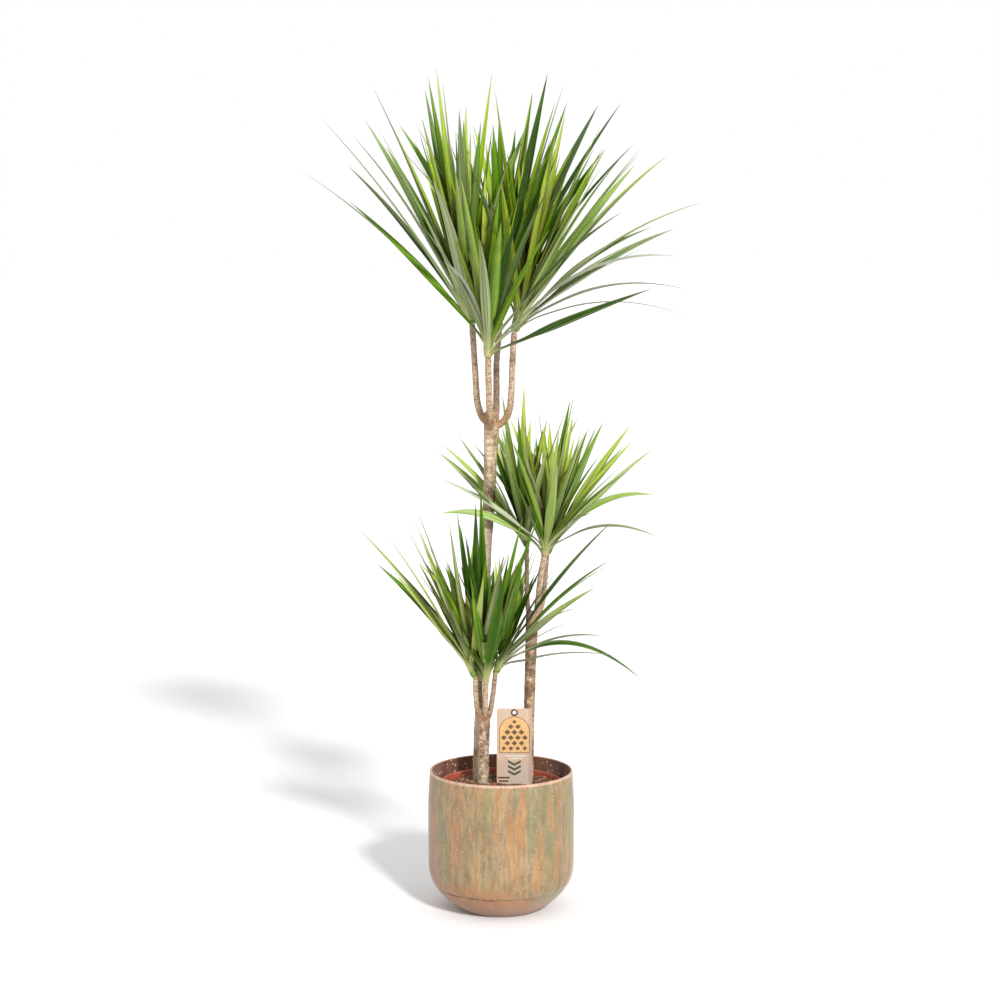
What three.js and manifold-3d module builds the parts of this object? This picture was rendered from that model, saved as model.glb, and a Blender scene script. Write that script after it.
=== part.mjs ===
// A dracaena with three canes in a nursery pot, standing in a round sheet-metal planter.
// Millimetres, +Z up. The origin is the middle of the planter's flat underside, and the plant
// is seen from -Y, with +X to the right.

import * as THREE from 'three';
import { mergeVertices } from 'three/addons/utils/BufferGeometryUtils.js';
import Module from 'manifold-3d';

const wasm = await Module();
wasm.setup();

// ---- Driving dimensions -------------------------------------------------------------------

const GAP = 0.3; // clearance between neighbouring pieces
const SLIVER = 0.1; // detail finer than this is smoothed away where blades and limbs join
const TOUCH = 0.05; // points of the skin nearer than this are drawn apart
const DRAW_APART = 0.2;

const PLANTER = {
  height: 240,
  radius: 125,
  wall: 2,
  sides: 42,
  footRadius: 68, // flat underside
  footRise: 85, // height over which the foot swells to the full radius
  footCurve: 2.55,
  neckStart: 185, // above this the wall draws in towards the rim
  neckCurve: 1.5,
  neckIn: 3.4,
  seam: 43, // the body's lower edge, where the dish is lapped in
  lap: 10,
  dishInset: 0.6, // the dish lies this much inside the body's skin
};

const NURSERY = {
  height: 217.5,
  wall: 1.5,
  sides: 32,
  footRadius: 65,
  bandRadius: 101,
  rimRadius: 103.5,
  rimBand: 13,
  drainHoles: 6,
  drainRadius: 5,
  drainCircle: 42,
};

const SOIL = {
  edgeHeight: 210,
  mound: 8,
  sides: 30,
  rings: [0.99, 0.84, 0.67, 0.5, 0.33, 0.16],
  clearance: 0.9, // to the nursery pot's wall
};

const LABEL = {
  width: 60,
  bottom: 168,
  top: 348,
  point: 26, // height of the tapered lower end
  pointWidth: 22,
  thickness: 1,
  corner: 3,
  centreX: 22.5,
  centreY: -10,
  holeDrop: 7, // from the top edge to the eyelet's centre
};

const EYELET = { inner: 3.2, barrel: 3.9, flange: 6, flangeThickness: 0.6, sides: 14 };

const CANE_SIDES = 9;
const CANE_STEP = 40; // spacing of the rings along a cane
const BRANCH_SIDES = 7;
const BRANCH_STEP = 20;
const HEAD = {
  sides: 6,
  firstLeaf: 9, // height of the lowest leaf on its leafy stem
  sunk: 0.7, // how far out in the stem a blade's root lies
  taper: 0.6, // how much thinner the leafy stem is at its top
};

const BLADE = {
  halfWidth: 7, // at the widest, before the seeded variation
  keel: 1.5, // depth of the blade under its flat upper face
  tipKeel: 0.6,
  stations: [0, 0.2, 0.5, 0.8],
  belly: 0.45, // where along the chord the arch is lifted
  arch: 0.15, // lift of the arch for each millimetre of sideways reach
  roll: 0.95, // largest turn of a blade about its own length, radians
};

const GOLDEN_ANGLE = 2.39996;
const UP = new THREE.Vector3(0, 0, 1);

// The short plant's leaves stay on the near side of this slanting plane and the middle plant's
// on the far side, so that the two plants' leaves pass without crossing.
const CURTAIN = {
  point: new THREE.Vector3(50, -2, 500),
  normal: new THREE.Vector3(0.25, 1, 0.35).normalize(),
  margin: 9,
};
// Behind the curtain the short plant's leaves stay below the middle plant's lowest ones.
const SHELF = { height: 598, margin: 10 };

// Canes and branches: [x, y, z, radius] along each, from its lower end. Heads: the base on the
// branch's end, the way the leafy stem leans, and the reach of each leaf that stands out, from
// the head's base to its tip as [right, back, up] with its own arch where it droops. The other
// leaves of a head are filled in by rule.
const TALL = {
  cane: [
    [-37.5, 34, 150, 12], [-37.3, 34, 232, 12], [-34.5, 33, 330, 11.2], [-31, 32, 460, 10.6],
    [-26.5, 31, 620, 10.3], [-20.6, 30, 700, 10.2], [-18.3, 29, 771, 11.2], [-16.5, 28, 812, 13],
    [-16.5, 28, 844, 13.2], [-16.5, 28, 852, 10.5],
  ],
  branches: [
    [[-19, 28, 829, 6], [-32, 28, 842, 6], [-40, 28, 866, 5.8], [-43, 27, 905, 5.5],
      [-46, 25, 955, 5.4], [-49, 24, 999, 5.4]],
    [[-18, 20, 824, 6], [-18.5, 6, 836, 6], [-19.5, -6, 860, 5.8], [-21, -12, 902, 5.5],
      [-22, -14, 944, 5.4]],
    [[-14, 34, 832, 6], [-9, 43, 848, 6], [-8, 48, 880, 5.6], [-8, 50, 930, 5.4],
      [-2, 52, 1003, 5.4]],
    [[-12, 26, 826, 6], [3, 24, 834, 6], [13, 23, 852, 6], [17, 22, 882, 5.6],
      [19, 22, 935, 5.4], [22, 22, 985, 5.4]],
  ],
  heads: [
    {
      base: [-49, 24, 999], lean: [-0.22, 0, 0.97], stem: 70, core: 8.5, length: 400, fill: 15,
      lowRise: 38, seed: 11,
      reaches: [
        [-290, 60, 258], [-244, -100, 338], [-190, -130, 308], [-187, 150, 348],
        [-162, -80, 393], [-122, -200, 260], [-79, -120, 337], [-81, 80, 396],
        [-74, 40, 414], [-59, 0, 425], [-47, -60, 400], [-18, -180, 348],
        [34, -50, 415], [16, -140, 331],
      ],
    },
    {
      base: [-22, -14, 944], lean: [0, -0.3, 0.95], stem: 64, core: 8, length: 360, fill: 13,
      lowRise: 42, seed: 23, steepBack: 66,
      reaches: [
        [-235, 60, 262], [-71, -150, 161, 0.4], [22, -190, 226], [44, -170, 226],
        [-13, -210, 201], [266, -120, 119, 0.02], [216, -120, 241], [250, -140, 183],
        [302, -130, 171, 0.32],
      ],
    },
    {
      base: [-2, 52, 1003], lean: [0.06, 0.25, 0.96], stem: 70, core: 8.5, length: 400, fill: 19,
      lowRise: 36, seed: 37,
      reaches: [
        [55, 60, 387], [82, 80, 422], [105, -60, 393], [95, 60, 373], [168, 60, 367],
        [210, 100, 374],
      ],
    },
    {
      base: [22, 22, 985], lean: [0.25, 0, 0.96], stem: 70, core: 8.5, length: 380, fill: 11,
      lowRise: 36, seed: 41,
      reaches: [
        [-32, -60, 398], [86, 40, 368], [141, -80, 341], [137, 80, 312], [151, -60, 307],
        [139, -150, 272], [173, -160, 291], [205, -60, 302], [206, 80, 282], [262, 60, 299],
        [203, -140, 255], [226, -60, 176], [309, -80, 217], [272, 60, 174],
        [309, 60, 68, 0.25], [313, -40, 20, 0.25],
      ],
    },
  ],
};

const MIDDLE = {
  cane: [
    [46.2, 24, 150, 9.4], [46.2, 24, 230, 9.4], [48, 24, 330, 9.2], [50.3, 24, 420, 9.6],
    [52.2, 24, 480, 10.6], [53, 24, 503, 11], [53, 24, 510, 8.8],
  ],
  branches: [
    [[50, 28, 492, 4.6], [46, 34, 514, 4.4], [44, 38, 560, 4], [44, 40, 617, 4]],
    [[56, 22, 490, 5.4], [61, 18, 511, 5.4], [64.5, 17, 545, 5.2], [68, 16, 577, 5],
      [73, 16, 605, 5]],
    [[57, 27, 492, 4.8], [66, 36, 507, 4.8], [73, 43, 533, 4.5], [76, 48, 570, 4.3],
      [79, 50, 603, 4.3]],
  ],
  heads: [
    {
      base: [44, 40, 617], lean: [-0.18, 0.12, 0.97], stem: 50, core: 6.5, length: 280, fill: 9,
      lowRise: 34, seed: 59, parted: [{ towards: 194, half: 20 }],
      reaches: [
        [-6, -60, 283], [-5, 40, 260], [-16, -80, 235], [-43, -60, 216], [-48, 60, 174],
        [-146, 27, 176],
      ],
    },
    {
      base: [73, 16, 605], lean: [0.12, -0.2, 0.97], stem: 50, core: 7, length: 280, fill: 8,
      lowRise: 34, seed: 67, parted: [{ towards: 175, half: 14 }],
      reaches: [
        [48, -60, 282], [22, -100, 225], [67, -100, 228], [91, 0, 225], [125, -100, 164],
        [140, -90, 157], [81, -95, 87], [178, -130, 120, 0.3], [186, -120, 45, 0.3],
        [-175, -26, 77, 0.3], [-180, -31, 138],
      ],
    },
    {
      base: [79, 50, 603], lean: [0.28, 0.2, 0.93], stem: 50, core: 6.5, length: 275, fill: 9,
      lowRise: 32, seed: 71, parted: [{ towards: 194, half: 13 }],
      reaches: [[98, 40, 228], [146, 60, 220], [185, 60, 178]],
    },
  ],
};

const SHORT = {
  cane: [
    [-31, 6, 150, 10.6], [-31, 6, 232, 10.6], [-30.4, 5, 290, 10.4], [-29.6, 3, 325, 10.8],
    [-29.4, 2, 340, 10.6], [-29.4, 2, 346, 8],
  ],
  branches: [
    [[-33, 2, 324, 4.6], [-39.5, 0, 340, 4.6], [-43, -3, 364, 4.3], [-44, -4, 398, 4.2]],
    [[-31, 6, 330, 4.2], [-34, 10, 348, 4], [-36, 11, 368, 3.8], [-36, 9, 392, 3.8]],
    [[-28, -3, 324, 4.8], [-27, -11, 343, 4.7], [-26.5, -15, 366, 4.5], [-26, -16, 391, 4.5]],
    [[-26, 1, 324, 4.8], [-19.5, -2, 338, 4.6], [-14.5, -4, 366, 4.4], [-10, -6, 406, 4.3]],
  ],
  heads: [
    {
      base: [-44, -4, 398], lean: [-0.3, -0.05, 0.95], stem: 46, core: 6.5, length: 295, fill: 8,
      lowRise: 32, seed: 83, parted: [{ towards: 73, half: 36 }, { towards: 17, half: 19 }],
      reaches: [
        [-200, -60, 271], [-147, -80, 260], [-115, -60, 269], [-107, -70, 298],
        [-97, -90, 305], [-43, -60, 278],
      ],
    },
    {
      base: [-36, 9, 392], lean: [-0.12, 0.1, 0.97], stem: 46, core: 6, length: 290, fill: 7,
      lowRise: 36, seed: 97, parted: [{ towards: 83, half: 58 }, { towards: 12, half: 22 }],
      reaches: [[-38, -68, 302], [-32, -78, 278], [-6, -118, 319]],
    },
    {
      base: [-26, -16, 391], lean: [0.02, -0.28, 0.95], stem: 48, core: 6.5, length: 300, fill: 9,
      lowRise: 34, seed: 103, parted: [{ towards: 98, half: 28 }, { towards: 26, half: 32 }],
      reaches: [[-8, -60, 342], [62, -80, 298], [88, -110, 302]],
    },
    {
      base: [-10, -6, 406], lean: [0.34, -0.08, 0.93], stem: 46, core: 6.5, length: 290, fill: 7,
      lowRise: 30, seed: 113, parted: [{ towards: 121, half: 31 }, { towards: 26, half: 34 }],
      reaches: [
        [194, -120, 279], [189, -100, 210], [184, -130, 206], [135, -150, 138],
        [121, -160, 116], [179, -140, 90], [200, -110, 52], [246, -90, 6, 0.42],
      ],
    },
  ],
};

// ---- Solids -------------------------------------------------------------------------------

// A closed three.js geometry as a solid: only its positions, with shared corners merged.
function solidOf(geometry) {
  const bare = geometry.clone();
  bare.deleteAttribute('normal');
  bare.deleteAttribute('uv');
  const merged = mergeVertices(bare, 1e-4);
  return solidFrom(merged.attributes.position.array, merged.index.array);
}

function solidFrom(positions, corners) {
  return new wasm.Manifold(new wasm.Mesh({
    numProp: 3,
    vertProperties: new Float32Array(positions),
    triVerts: new Uint32Array(corners),
  }));
}

// Whether the last of four corners stands out in front of the plane of the first three.
function standsOut(positions, ...corners) {
  const [a, b, c, d] = corners.map((corner) => new THREE.Vector3().fromArray(positions, 3 * corner));
  return b.sub(a).cross(c.sub(a)).dot(d.sub(a)) > 0;
}

// A closed geometry through rings of points that run anticlockwise about the way from the
// first ring to the last. A ring of one point closes its end, and a wider one gets a cap. Each
// face with four corners is folded outwards, so a thin twisted shape keeps its thickness.
function loft(rings) {
  const positions = [];
  const faces = [];
  const starts = rings.map((ring) => {
    const start = positions.length / 3;
    ring.forEach((point) => positions.push(point.x, point.y, point.z));
    return start;
  });
  const at = (level, side) => starts[level] + (side % rings[level].length);
  for (let level = 0; level + 1 < rings.length; level += 1) {
    const sides = Math.max(rings[level].length, rings[level + 1].length);
    for (let side = 0; side < sides; side += 1) {
      const low = [at(level, side), at(level, side + 1)];
      const high = [at(level + 1, side), at(level + 1, side + 1)];
      if (rings[level].length === 1) {
        faces.push(low[0], high[1], high[0]);
      } else if (rings[level + 1].length === 1) {
        faces.push(low[0], low[1], high[0]);
      } else if (standsOut(positions, low[0], low[1], high[1], high[0])) {
        faces.push(low[0], low[1], high[0], low[1], high[1], high[0]);
      } else {
        faces.push(low[0], low[1], high[1], low[0], high[1], high[0]);
      }
    }
  }
  const last = rings.length - 1;
  for (let side = 1; side + 1 < rings[0].length; side += 1) {
    faces.push(at(0, 0), at(0, side + 1), at(0, side));
  }
  for (let side = 1; side + 1 < rings[last].length; side += 1) {
    faces.push(at(last, 0), at(last, side), at(last, side + 1));
  }
  const geometry = new THREE.BufferGeometry();
  geometry.setAttribute('position', new THREE.Float32BufferAttribute(positions, 3));
  geometry.setIndex(faces);
  return geometry;
}

// A round limb along a smooth curve through [x, y, z, radius] points, grown by a clearance.
function limb(points, sides, step, grow = 0) {
  const curve = new THREE.CatmullRomCurve3(
    points.map(([x, y, z]) => new THREE.Vector3(x, y, z)),
    false,
    'centripetal',
  );
  const steps = Math.max(points.length, Math.round(curve.getLength() / step));
  const rings = [];
  let side = new THREE.Vector3(1, 0, 0);
  for (let i = 0; i <= steps; i += 1) {
    const t = i / steps;
    const along = t * (points.length - 1);
    const before = Math.min(Math.floor(along), points.length - 2);
    const radius = THREE.MathUtils.lerp(points[before][3], points[before + 1][3], along - before);
    const centre = curve.getPoint(t);
    const tangent = curve.getTangent(t);
    side = side.clone().addScaledVector(tangent, -side.dot(tangent)).normalize();
    const other = tangent.clone().cross(side);
    const ring = [];
    for (let k = 0; k < sides; k += 1) {
      const angle = (2 * Math.PI * k) / sides;
      ring.push(centre.clone()
        .addScaledVector(side, (radius + grow) * Math.cos(angle))
        .addScaledVector(other, (radius + grow) * Math.sin(angle)));
    }
    rings.push(ring);
  }
  return solidOf(loft(rings));
}

// A closed outline of [radius, height] corners, turned about the Z axis.
function turned(outline, sides) {
  const points = outline.map(([radius, height]) => new THREE.Vector2(radius, height));
  const geometry = new THREE.LatheGeometry(points, sides);
  geometry.rotateX(Math.PI / 2);
  return solidOf(geometry);
}

// The largest closed skin of a solid, without the slivers that joining leaves: loose scraps and
// sealed hollows are left out.
function mainBody(solid) {
  const { vertProperties, triVerts } = solid.getMesh();
  const body = solidFrom(vertProperties, triVerts).simplify(SLIVER).decompose()
    .reduce((best, piece) => (piece.volume() > best.volume() ? piece : best));
  return drawnApart(body);
}

// Points of the skin that all but touch are drawn apart, each towards its own neighbours.
function drawnApart(solid) {
  const { vertProperties, triVerts } = solid.getMesh();
  const points = Array.from({ length: vertProperties.length / 3 }, (_, i) => (
    new THREE.Vector3().fromArray(vertProperties, 3 * i)
  ));
  const middles = points.map(() => new THREE.Vector3());
  const counts = points.map(() => 0);
  triVerts.forEach((point, i) => {
    const next = triVerts[i % 3 === 2 ? i - 2 : i + 1];
    middles[point].add(points[next]);
    counts[point] += 1;
  });
  middles.forEach((middle, i) => middle.divideScalar(counts[i]));
  const moved = points.map((point) => point.clone());
  const order = points.map((_, i) => i).sort((a, b) => points[a].x - points[b].x);
  order.forEach((one, rank) => {
    for (let k = rank + 1; k < order.length; k += 1) {
      const other = order[k];
      if (points[other].x - points[one].x > TOUCH) {
        break;
      }
      if (points[one].distanceTo(points[other]) < TOUCH) {
        const apart = middles[one].clone().sub(middles[other]).setLength(DRAW_APART / 2);
        moved[one].add(apart);
        moved[other].sub(apart);
      }
    }
  });
  return solidFrom(moved.flatMap((point) => point.toArray()), triVerts);
}

function meshOf(name, solid, material) {
  const { vertProperties, triVerts, numProp } = solid.getMesh();
  const positions = new Float32Array((vertProperties.length / numProp) * 3);
  for (let i = 0; i < positions.length / 3; i += 1) {
    positions.set(vertProperties.subarray(i * numProp, i * numProp + 3), i * 3);
  }
  const geometry = new THREE.BufferGeometry();
  geometry.setAttribute('position', new THREE.BufferAttribute(positions, 3));
  geometry.setIndex(new THREE.BufferAttribute(new Uint32Array(triVerts), 1));
  geometry.computeVertexNormals();
  const mesh = new THREE.Mesh(geometry, material);
  mesh.name = name;
  return mesh;
}

function finish(colour, roughness, metalness = 0) {
  return new THREE.MeshStandardMaterial({ color: colour, roughness, metalness });
}

// ---- Planter ------------------------------------------------------------------------------

// Outer radius of the planter's skin at a height: a swelling foot, a straight wall and a
// slightly drawn-in rim.
function planterRadius(height) {
  const foot = Math.max(0, 1 - height / PLANTER.footRise);
  const neck = Math.max(0, (height - PLANTER.neckStart) / (PLANTER.height - PLANTER.neckStart));
  return PLANTER.radius
    - (PLANTER.radius - PLANTER.footRadius) * foot ** PLANTER.footCurve
    - PLANTER.neckIn * neck ** PLANTER.neckCurve;
}

// The point that lies a given depth inside the skin, square to it.
function insidePlanter(height, depth) {
  const rise = 0.5;
  const slope = (planterRadius(height + rise) - planterRadius(Math.max(0, height - rise)))
    / (height < rise ? rise + height : 2 * rise);
  const length = Math.hypot(1, slope);
  return [planterRadius(height) - depth / length, height + (depth * slope) / length];
}

function heightsBetween(low, high, count) {
  return Array.from({ length: count + 1 }, (_, i) => low + ((high - low) * i) / count);
}

function planterBody() {
  const { seam, lap, footRise, neckStart, height, wall, sides } = PLANTER;
  const heights = [
    seam,
    ...heightsBetween(seam + lap, footRise, 2),
    ...heightsBetween(neckStart, height, 2),
  ];
  const outside = heights.map((level) => [planterRadius(level), level]);
  const inside = heights.map((level) => [planterRadius(level) - wall, level]).reverse();
  return turned([...outside, ...inside, outside[0]], sides);
}

function planterBase() {
  const { seam, lap, wall, sides, dishInset } = PLANTER;
  const skin = heightsBetween(0, seam - GAP, 4).map((level) => insidePlanter(level, dishInset));
  skin[0][1] = 0;
  const lip = heightsBetween(seam - GAP, seam + lap, 1)
    .map((level) => [planterRadius(level) - wall - GAP, level]);
  const lining = heightsBetween(1, seam + lap, 5)
    .map((level) => insidePlanter(level, 2 * wall + GAP))
    .filter(([, level]) => level < seam + lap)
    .reverse();
  lining.unshift([planterRadius(seam + lap) - 2 * wall - GAP, seam + lap]);
  const floor = lining[lining.length - 1];
  floor[1] = wall;
  return turned([[0, 0], ...skin, ...lip, ...lining, [0, wall]], sides);
}

// ---- Nursery pot and soil -----------------------------------------------------------------

const NURSERY_FLOOR = PLANTER.wall + GAP;
const NURSERY_TOP = NURSERY_FLOOR + NURSERY.height;

function nurseryRadius(height) {
  const part = (height - NURSERY_FLOOR) / (NURSERY.height - NURSERY.rimBand);
  return NURSERY.footRadius + (NURSERY.bandRadius - NURSERY.footRadius) * part;
}

function nurseryPot() {
  const { wall, rimRadius, rimBand, footRadius, bandRadius, sides } = NURSERY;
  const band = NURSERY_TOP - rimBand;
  const pot = turned([
    [0, NURSERY_FLOOR],
    [footRadius - 3, NURSERY_FLOOR],
    [footRadius, NURSERY_FLOOR + 3],
    [bandRadius, band - 1],
    [rimRadius, band],
    [rimRadius, NURSERY_TOP],
    [rimRadius - wall, NURSERY_TOP],
    [rimRadius - wall, band + wall],
    [bandRadius - wall, band],
    [footRadius - wall, NURSERY_FLOOR + wall],
    [0, NURSERY_FLOOR + wall],
  ], sides);
  const drill = new THREE.CylinderGeometry(NURSERY.drainRadius, NURSERY.drainRadius, 8, 8);
  drill.rotateX(Math.PI / 2);
  const drills = Array.from({ length: NURSERY.drainHoles }, (_, i) => {
    const angle = (2 * Math.PI * i) / NURSERY.drainHoles;
    return solidOf(drill.clone().translate(
      NURSERY.drainCircle * Math.cos(angle),
      NURSERY.drainCircle * Math.sin(angle),
      NURSERY_FLOOR,
    ));
  });
  return pot.subtract(wasm.Manifold.union(drills));
}

// The soil's lumpy top: a low mound with crossing ripples.
function soilHeight(x, y) {
  const out = Math.hypot(x, y) / NURSERY.bandRadius;
  return SOIL.edgeHeight + SOIL.mound * (1 - out * out)
    + 1.5 * Math.sin(x / 9 + 1) * Math.cos(y / 8)
    + 1.1 * Math.sin((x + 1.7 * y) / 5);
}

function soil(stems) {
  const floor = NURSERY_FLOOR + NURSERY.wall + GAP;
  const inner = (height) => nurseryRadius(height) - NURSERY.wall - SOIL.clearance;
  const circle = (radius, heightAt) => Array.from({ length: SOIL.sides }, (_, k) => {
    const angle = (2 * Math.PI * k) / SOIL.sides;
    const x = radius * Math.cos(angle);
    const y = radius * Math.sin(angle);
    return new THREE.Vector3(x, y, heightAt(x, y));
  });
  const edge = inner(SOIL.edgeHeight - 4);
  const body = solidOf(loft([
    circle(inner(floor), () => floor),
    circle(edge, () => SOIL.edgeHeight - 4),
    ...SOIL.rings.map((part) => circle(edge * part, soilHeight)),
    [new THREE.Vector3(0, 0, soilHeight(0, 0))],
  ]));
  return mainBody(body.subtract(wasm.Manifold.union(stems)));
}

// ---- Label --------------------------------------------------------------------------------

// The card's outline, grown all round by a clearance: square sides, rounded upper corners and
// a tapered lower end.
function labelShape(grow) {
  const half = LABEL.width / 2 + grow;
  const foot = LABEL.pointWidth / 2 + grow;
  const bottom = LABEL.bottom - grow;
  const top = LABEL.top + grow;
  const shape = new THREE.Shape();
  shape.moveTo(-foot, bottom);
  shape.lineTo(foot, bottom);
  shape.lineTo(half, bottom + LABEL.point);
  shape.lineTo(half, top - LABEL.corner);
  shape.absarc(half - LABEL.corner, top - LABEL.corner, LABEL.corner, 0, Math.PI / 2);
  shape.absarc(LABEL.corner - half, top - LABEL.corner, LABEL.corner, Math.PI / 2, Math.PI);
  shape.lineTo(-half, bottom + LABEL.point);
  shape.closePath();
  return shape;
}

// The card stands upright, facing -Y, with its middle at the local origin in X and Y.
function labelCard(grow = 0) {
  const shape = labelShape(grow);
  if (grow === 0) {
    const hole = new THREE.Path();
    hole.absarc(0, LABEL.top - LABEL.holeDrop, EYELET.barrel + GAP, 0, 2 * Math.PI, true);
    shape.holes.push(hole);
  }
  const depth = LABEL.thickness + 2 * grow;
  const card = new THREE.ExtrudeGeometry(shape, { depth, bevelEnabled: false, curveSegments: 6 });
  card.rotateX(Math.PI / 2);
  card.translate(0, depth / 2, 0);
  return card;
}

function eyelet() {
  const { inner, barrel, flange, flangeThickness, sides } = EYELET;
  const face = LABEL.thickness / 2 + GAP;
  const outer = face + flangeThickness;
  const ring = turned([
    [inner, -outer], [flange, -outer], [flange, -face], [barrel, -face],
    [barrel, face], [flange, face], [flange, outer], [inner, outer], [inner, -outer],
  ], sides);
  return ring.rotate([90, 0, 0]);
}

// ---- Plants -------------------------------------------------------------------------------

// A seeded run of numbers between 0 and 1.
function makeDraw(seed) {
  let state = seed;
  const next = () => {
    state = (state * 16807) % 2147483647;
    return state / 2147483647;
  };
  next();
  next();
  return next;
}

function vector([x, y, z]) {
  return new THREE.Vector3(x, y, z);
}

// Moves a point of a leaf to its own side of the other plant's leaves.
function keepApart(point, plant) {
  const moved = point.clone();
  const past = moved.clone().sub(CURTAIN.point).dot(CURTAIN.normal);
  if (plant === MIDDLE) {
    moved.addScaledVector(CURTAIN.normal, Math.max(0, CURTAIN.margin - past));
    moved.z = Math.max(moved.z, SHELF.height + SHELF.margin);
  }
  if (plant === SHORT && past > -CURTAIN.margin) {
    const drop = moved.z - (SHELF.height - SHELF.margin);
    const shift = past + CURTAIN.margin;
    if (point.behind) {
      moved.z -= Math.max(0, drop);
    } else {
      moved.addScaledVector(CURTAIN.normal, -shift);
    }
  }
  return moved;
}

// Turns a leaf's heading out of the sectors where a cane stands close to the head.
function partAround(heading, sectors) {
  return sectors.reduce((angle, { towards, half }) => {
    const middle = THREE.MathUtils.degToRad(towards);
    const limit = THREE.MathUtils.degToRad(half);
    const off = THREE.MathUtils.euclideanModulo(angle - middle + Math.PI, 2 * Math.PI) - Math.PI;
    if (Math.abs(off) >= limit) {
      return angle;
    }
    return middle + (off < 0 ? -limit : limit);
  }, heading);
}

// The reach of a filled-in leaf. The oldest leaves, low on the head, spread widest.
function filledReach(head, index, draw) {
  const age = (index + 0.5) / head.fill;
  const turn = index * GOLDEN_ANGLE + head.seed + 0.5 * (draw() - 0.5);
  const rise = head.lowRise + (84 - head.lowRise) * age ** 0.75 + 10 * (draw() - 0.5);
  const steep = Math.sin(turn) > 0 ? head.steepBack ?? 0 : 0;
  const angle = THREE.MathUtils.degToRad(Math.min(86, Math.max(rise, steep)));
  const length = head.length * (0.8 + 0.2 * draw()) * (1 - 0.3 * Math.max(0, age - 0.7));
  const spread = Math.cos(angle) * (1 - 0.25 * Math.abs(Math.cos(turn)));
  const reach = new THREE.Vector3(spread * Math.cos(turn), spread * Math.sin(turn), Math.sin(angle))
    .addScaledVector(vector(head.lean).setZ(0), 0.35);
  const flat = Math.hypot(reach.x, reach.y);
  const heading = partAround(Math.atan2(reach.y, reach.x), head.parted ?? []);
  return reach.set(flat * Math.cos(heading), flat * Math.sin(heading), reach.z).setLength(length);
}

function coreRadius(head, height) {
  return head.core * (1 - HEAD.taper * (height / head.stem));
}

// The middle line, width and turn of a leaf that reaches a given way from its head's base.
function leafTo(plant, head, reach, height, draw, arch) {
  const flat = Math.hypot(reach.x, reach.y);
  const heading = Math.atan2(reach.y, reach.x);
  const outward = new THREE.Vector3(Math.cos(heading), Math.sin(heading), 0);
  const root = vector(head.base)
    .addScaledVector(vector(head.lean).normalize(), height)
    .addScaledVector(outward, HEAD.sunk * coreRadius(head, height));
  const tip = vector(head.base).add(reach);
  tip.behind = reach.y > 0;
  const end = keepApart(tip, plant);
  const lift = arch ?? BLADE.arch * (0.6 + 0.8 * draw());
  const control = root.clone().lerp(end, BLADE.belly).addScaledVector(UP, lift * flat);
  control.behind = reach.y > 0;
  return {
    heading,
    route: new THREE.QuadraticBezierCurve3(root, keepApart(control, plant), end),
    halfWidth: BLADE.halfWidth * (0.86 + 0.28 * draw()) * (plant === TALL ? 1.08 : 1),
    roll: BLADE.roll * Math.cos(heading) * (0.3 + 0.7 * draw()) + 0.5 * (draw() - 0.5),
  };
}

// Half the blade's width along its length: a narrow root, widest past a third, and a long
// fine point.
function bladeHalfWidth(leaf, t) {
  return leaf.halfWidth * Math.min(1, 0.42 + 1.8 * t) * (1 - t ** 2.5);
}

function blade(leaf) {
  const across = new THREE.Vector3(-Math.sin(leaf.heading), Math.cos(leaf.heading), 0);
  const rings = BLADE.stations.map((t) => {
    const centre = leaf.route.getPoint(t);
    const tangent = leaf.route.getTangent(t);
    const level = across.clone().addScaledVector(tangent, -across.dot(tangent)).normalize();
    const above = tangent.clone().cross(level);
    const roll = leaf.roll * THREE.MathUtils.smoothstep(t, 0, 0.5);
    const side = level.clone().multiplyScalar(Math.cos(roll)).addScaledVector(above, Math.sin(roll));
    const face = above.clone().multiplyScalar(Math.cos(roll)).addScaledVector(level, -Math.sin(roll));
    const half = bladeHalfWidth(leaf, t);
    const keel = THREE.MathUtils.lerp(BLADE.keel, BLADE.tipKeel, t);
    return [
      centre.clone().addScaledVector(side, half),
      centre.clone().addScaledVector(side, -half),
      centre.clone().addScaledVector(face, -keel),
    ];
  });
  rings.push([leaf.route.getPoint(1)]);
  return solidOf(loft(rings));
}

// All leaves of a head, from the lowest and widest spread to the steepest at the top of the
// leafy stem, which they climb in equal steps.
function headLeaves(plant, head) {
  const draw = makeDraw(head.seed);
  const shown = head.reaches.map(([x, y, z, arch]) => ({ reach: new THREE.Vector3(x, y, z), arch }));
  const filled = Array.from({ length: head.fill }, (_, index) => (
    { reach: filledReach(head, index, draw) }
  ));
  const steepness = ({ reach }) => reach.z / reach.length();
  const climbing = [...shown, ...filled].sort((a, b) => steepness(a) - steepness(b));
  const step = (head.stem - HEAD.firstLeaf - 1) / climbing.length;
  return climbing.map(({ reach, arch }, rank) => (
    leafTo(plant, head, reach, HEAD.firstLeaf + step * rank, draw, arch)
  ));
}

// The green leafy stem, wrapped in the leaves' sheaths, that the blades of a head are sunk into.
function headStem(head, branch) {
  const lean = vector(head.lean).normalize();
  const [before, end] = branch.slice(-2);
  const inLine = vector(end).sub(vector(before)).normalize();
  const at = (way, height, radius) => [
    ...vector(head.base).addScaledVector(way, height).toArray(),
    radius,
  ];
  const swell = HEAD.firstLeaf - 1;
  return limb([
    at(inLine, 2 * GAP, end[3]),
    at(inLine, 3, end[3] + 0.6),
    at(lean, swell, coreRadius(head, swell)),
    at(lean, head.stem * 0.55, coreRadius(head, head.stem * 0.55)),
    at(lean, head.stem, coreRadius(head, head.stem)),
  ], HEAD.sides, head.stem);
}

function foliage(plant) {
  const stems = plant.heads.map((head, i) => headStem(head, plant.branches[i]));
  const blades = plant.heads.flatMap((head) => headLeaves(plant, head)).map(blade);
  return mainBody(wasm.Manifold.union([...stems, ...blades]));
}

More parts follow.
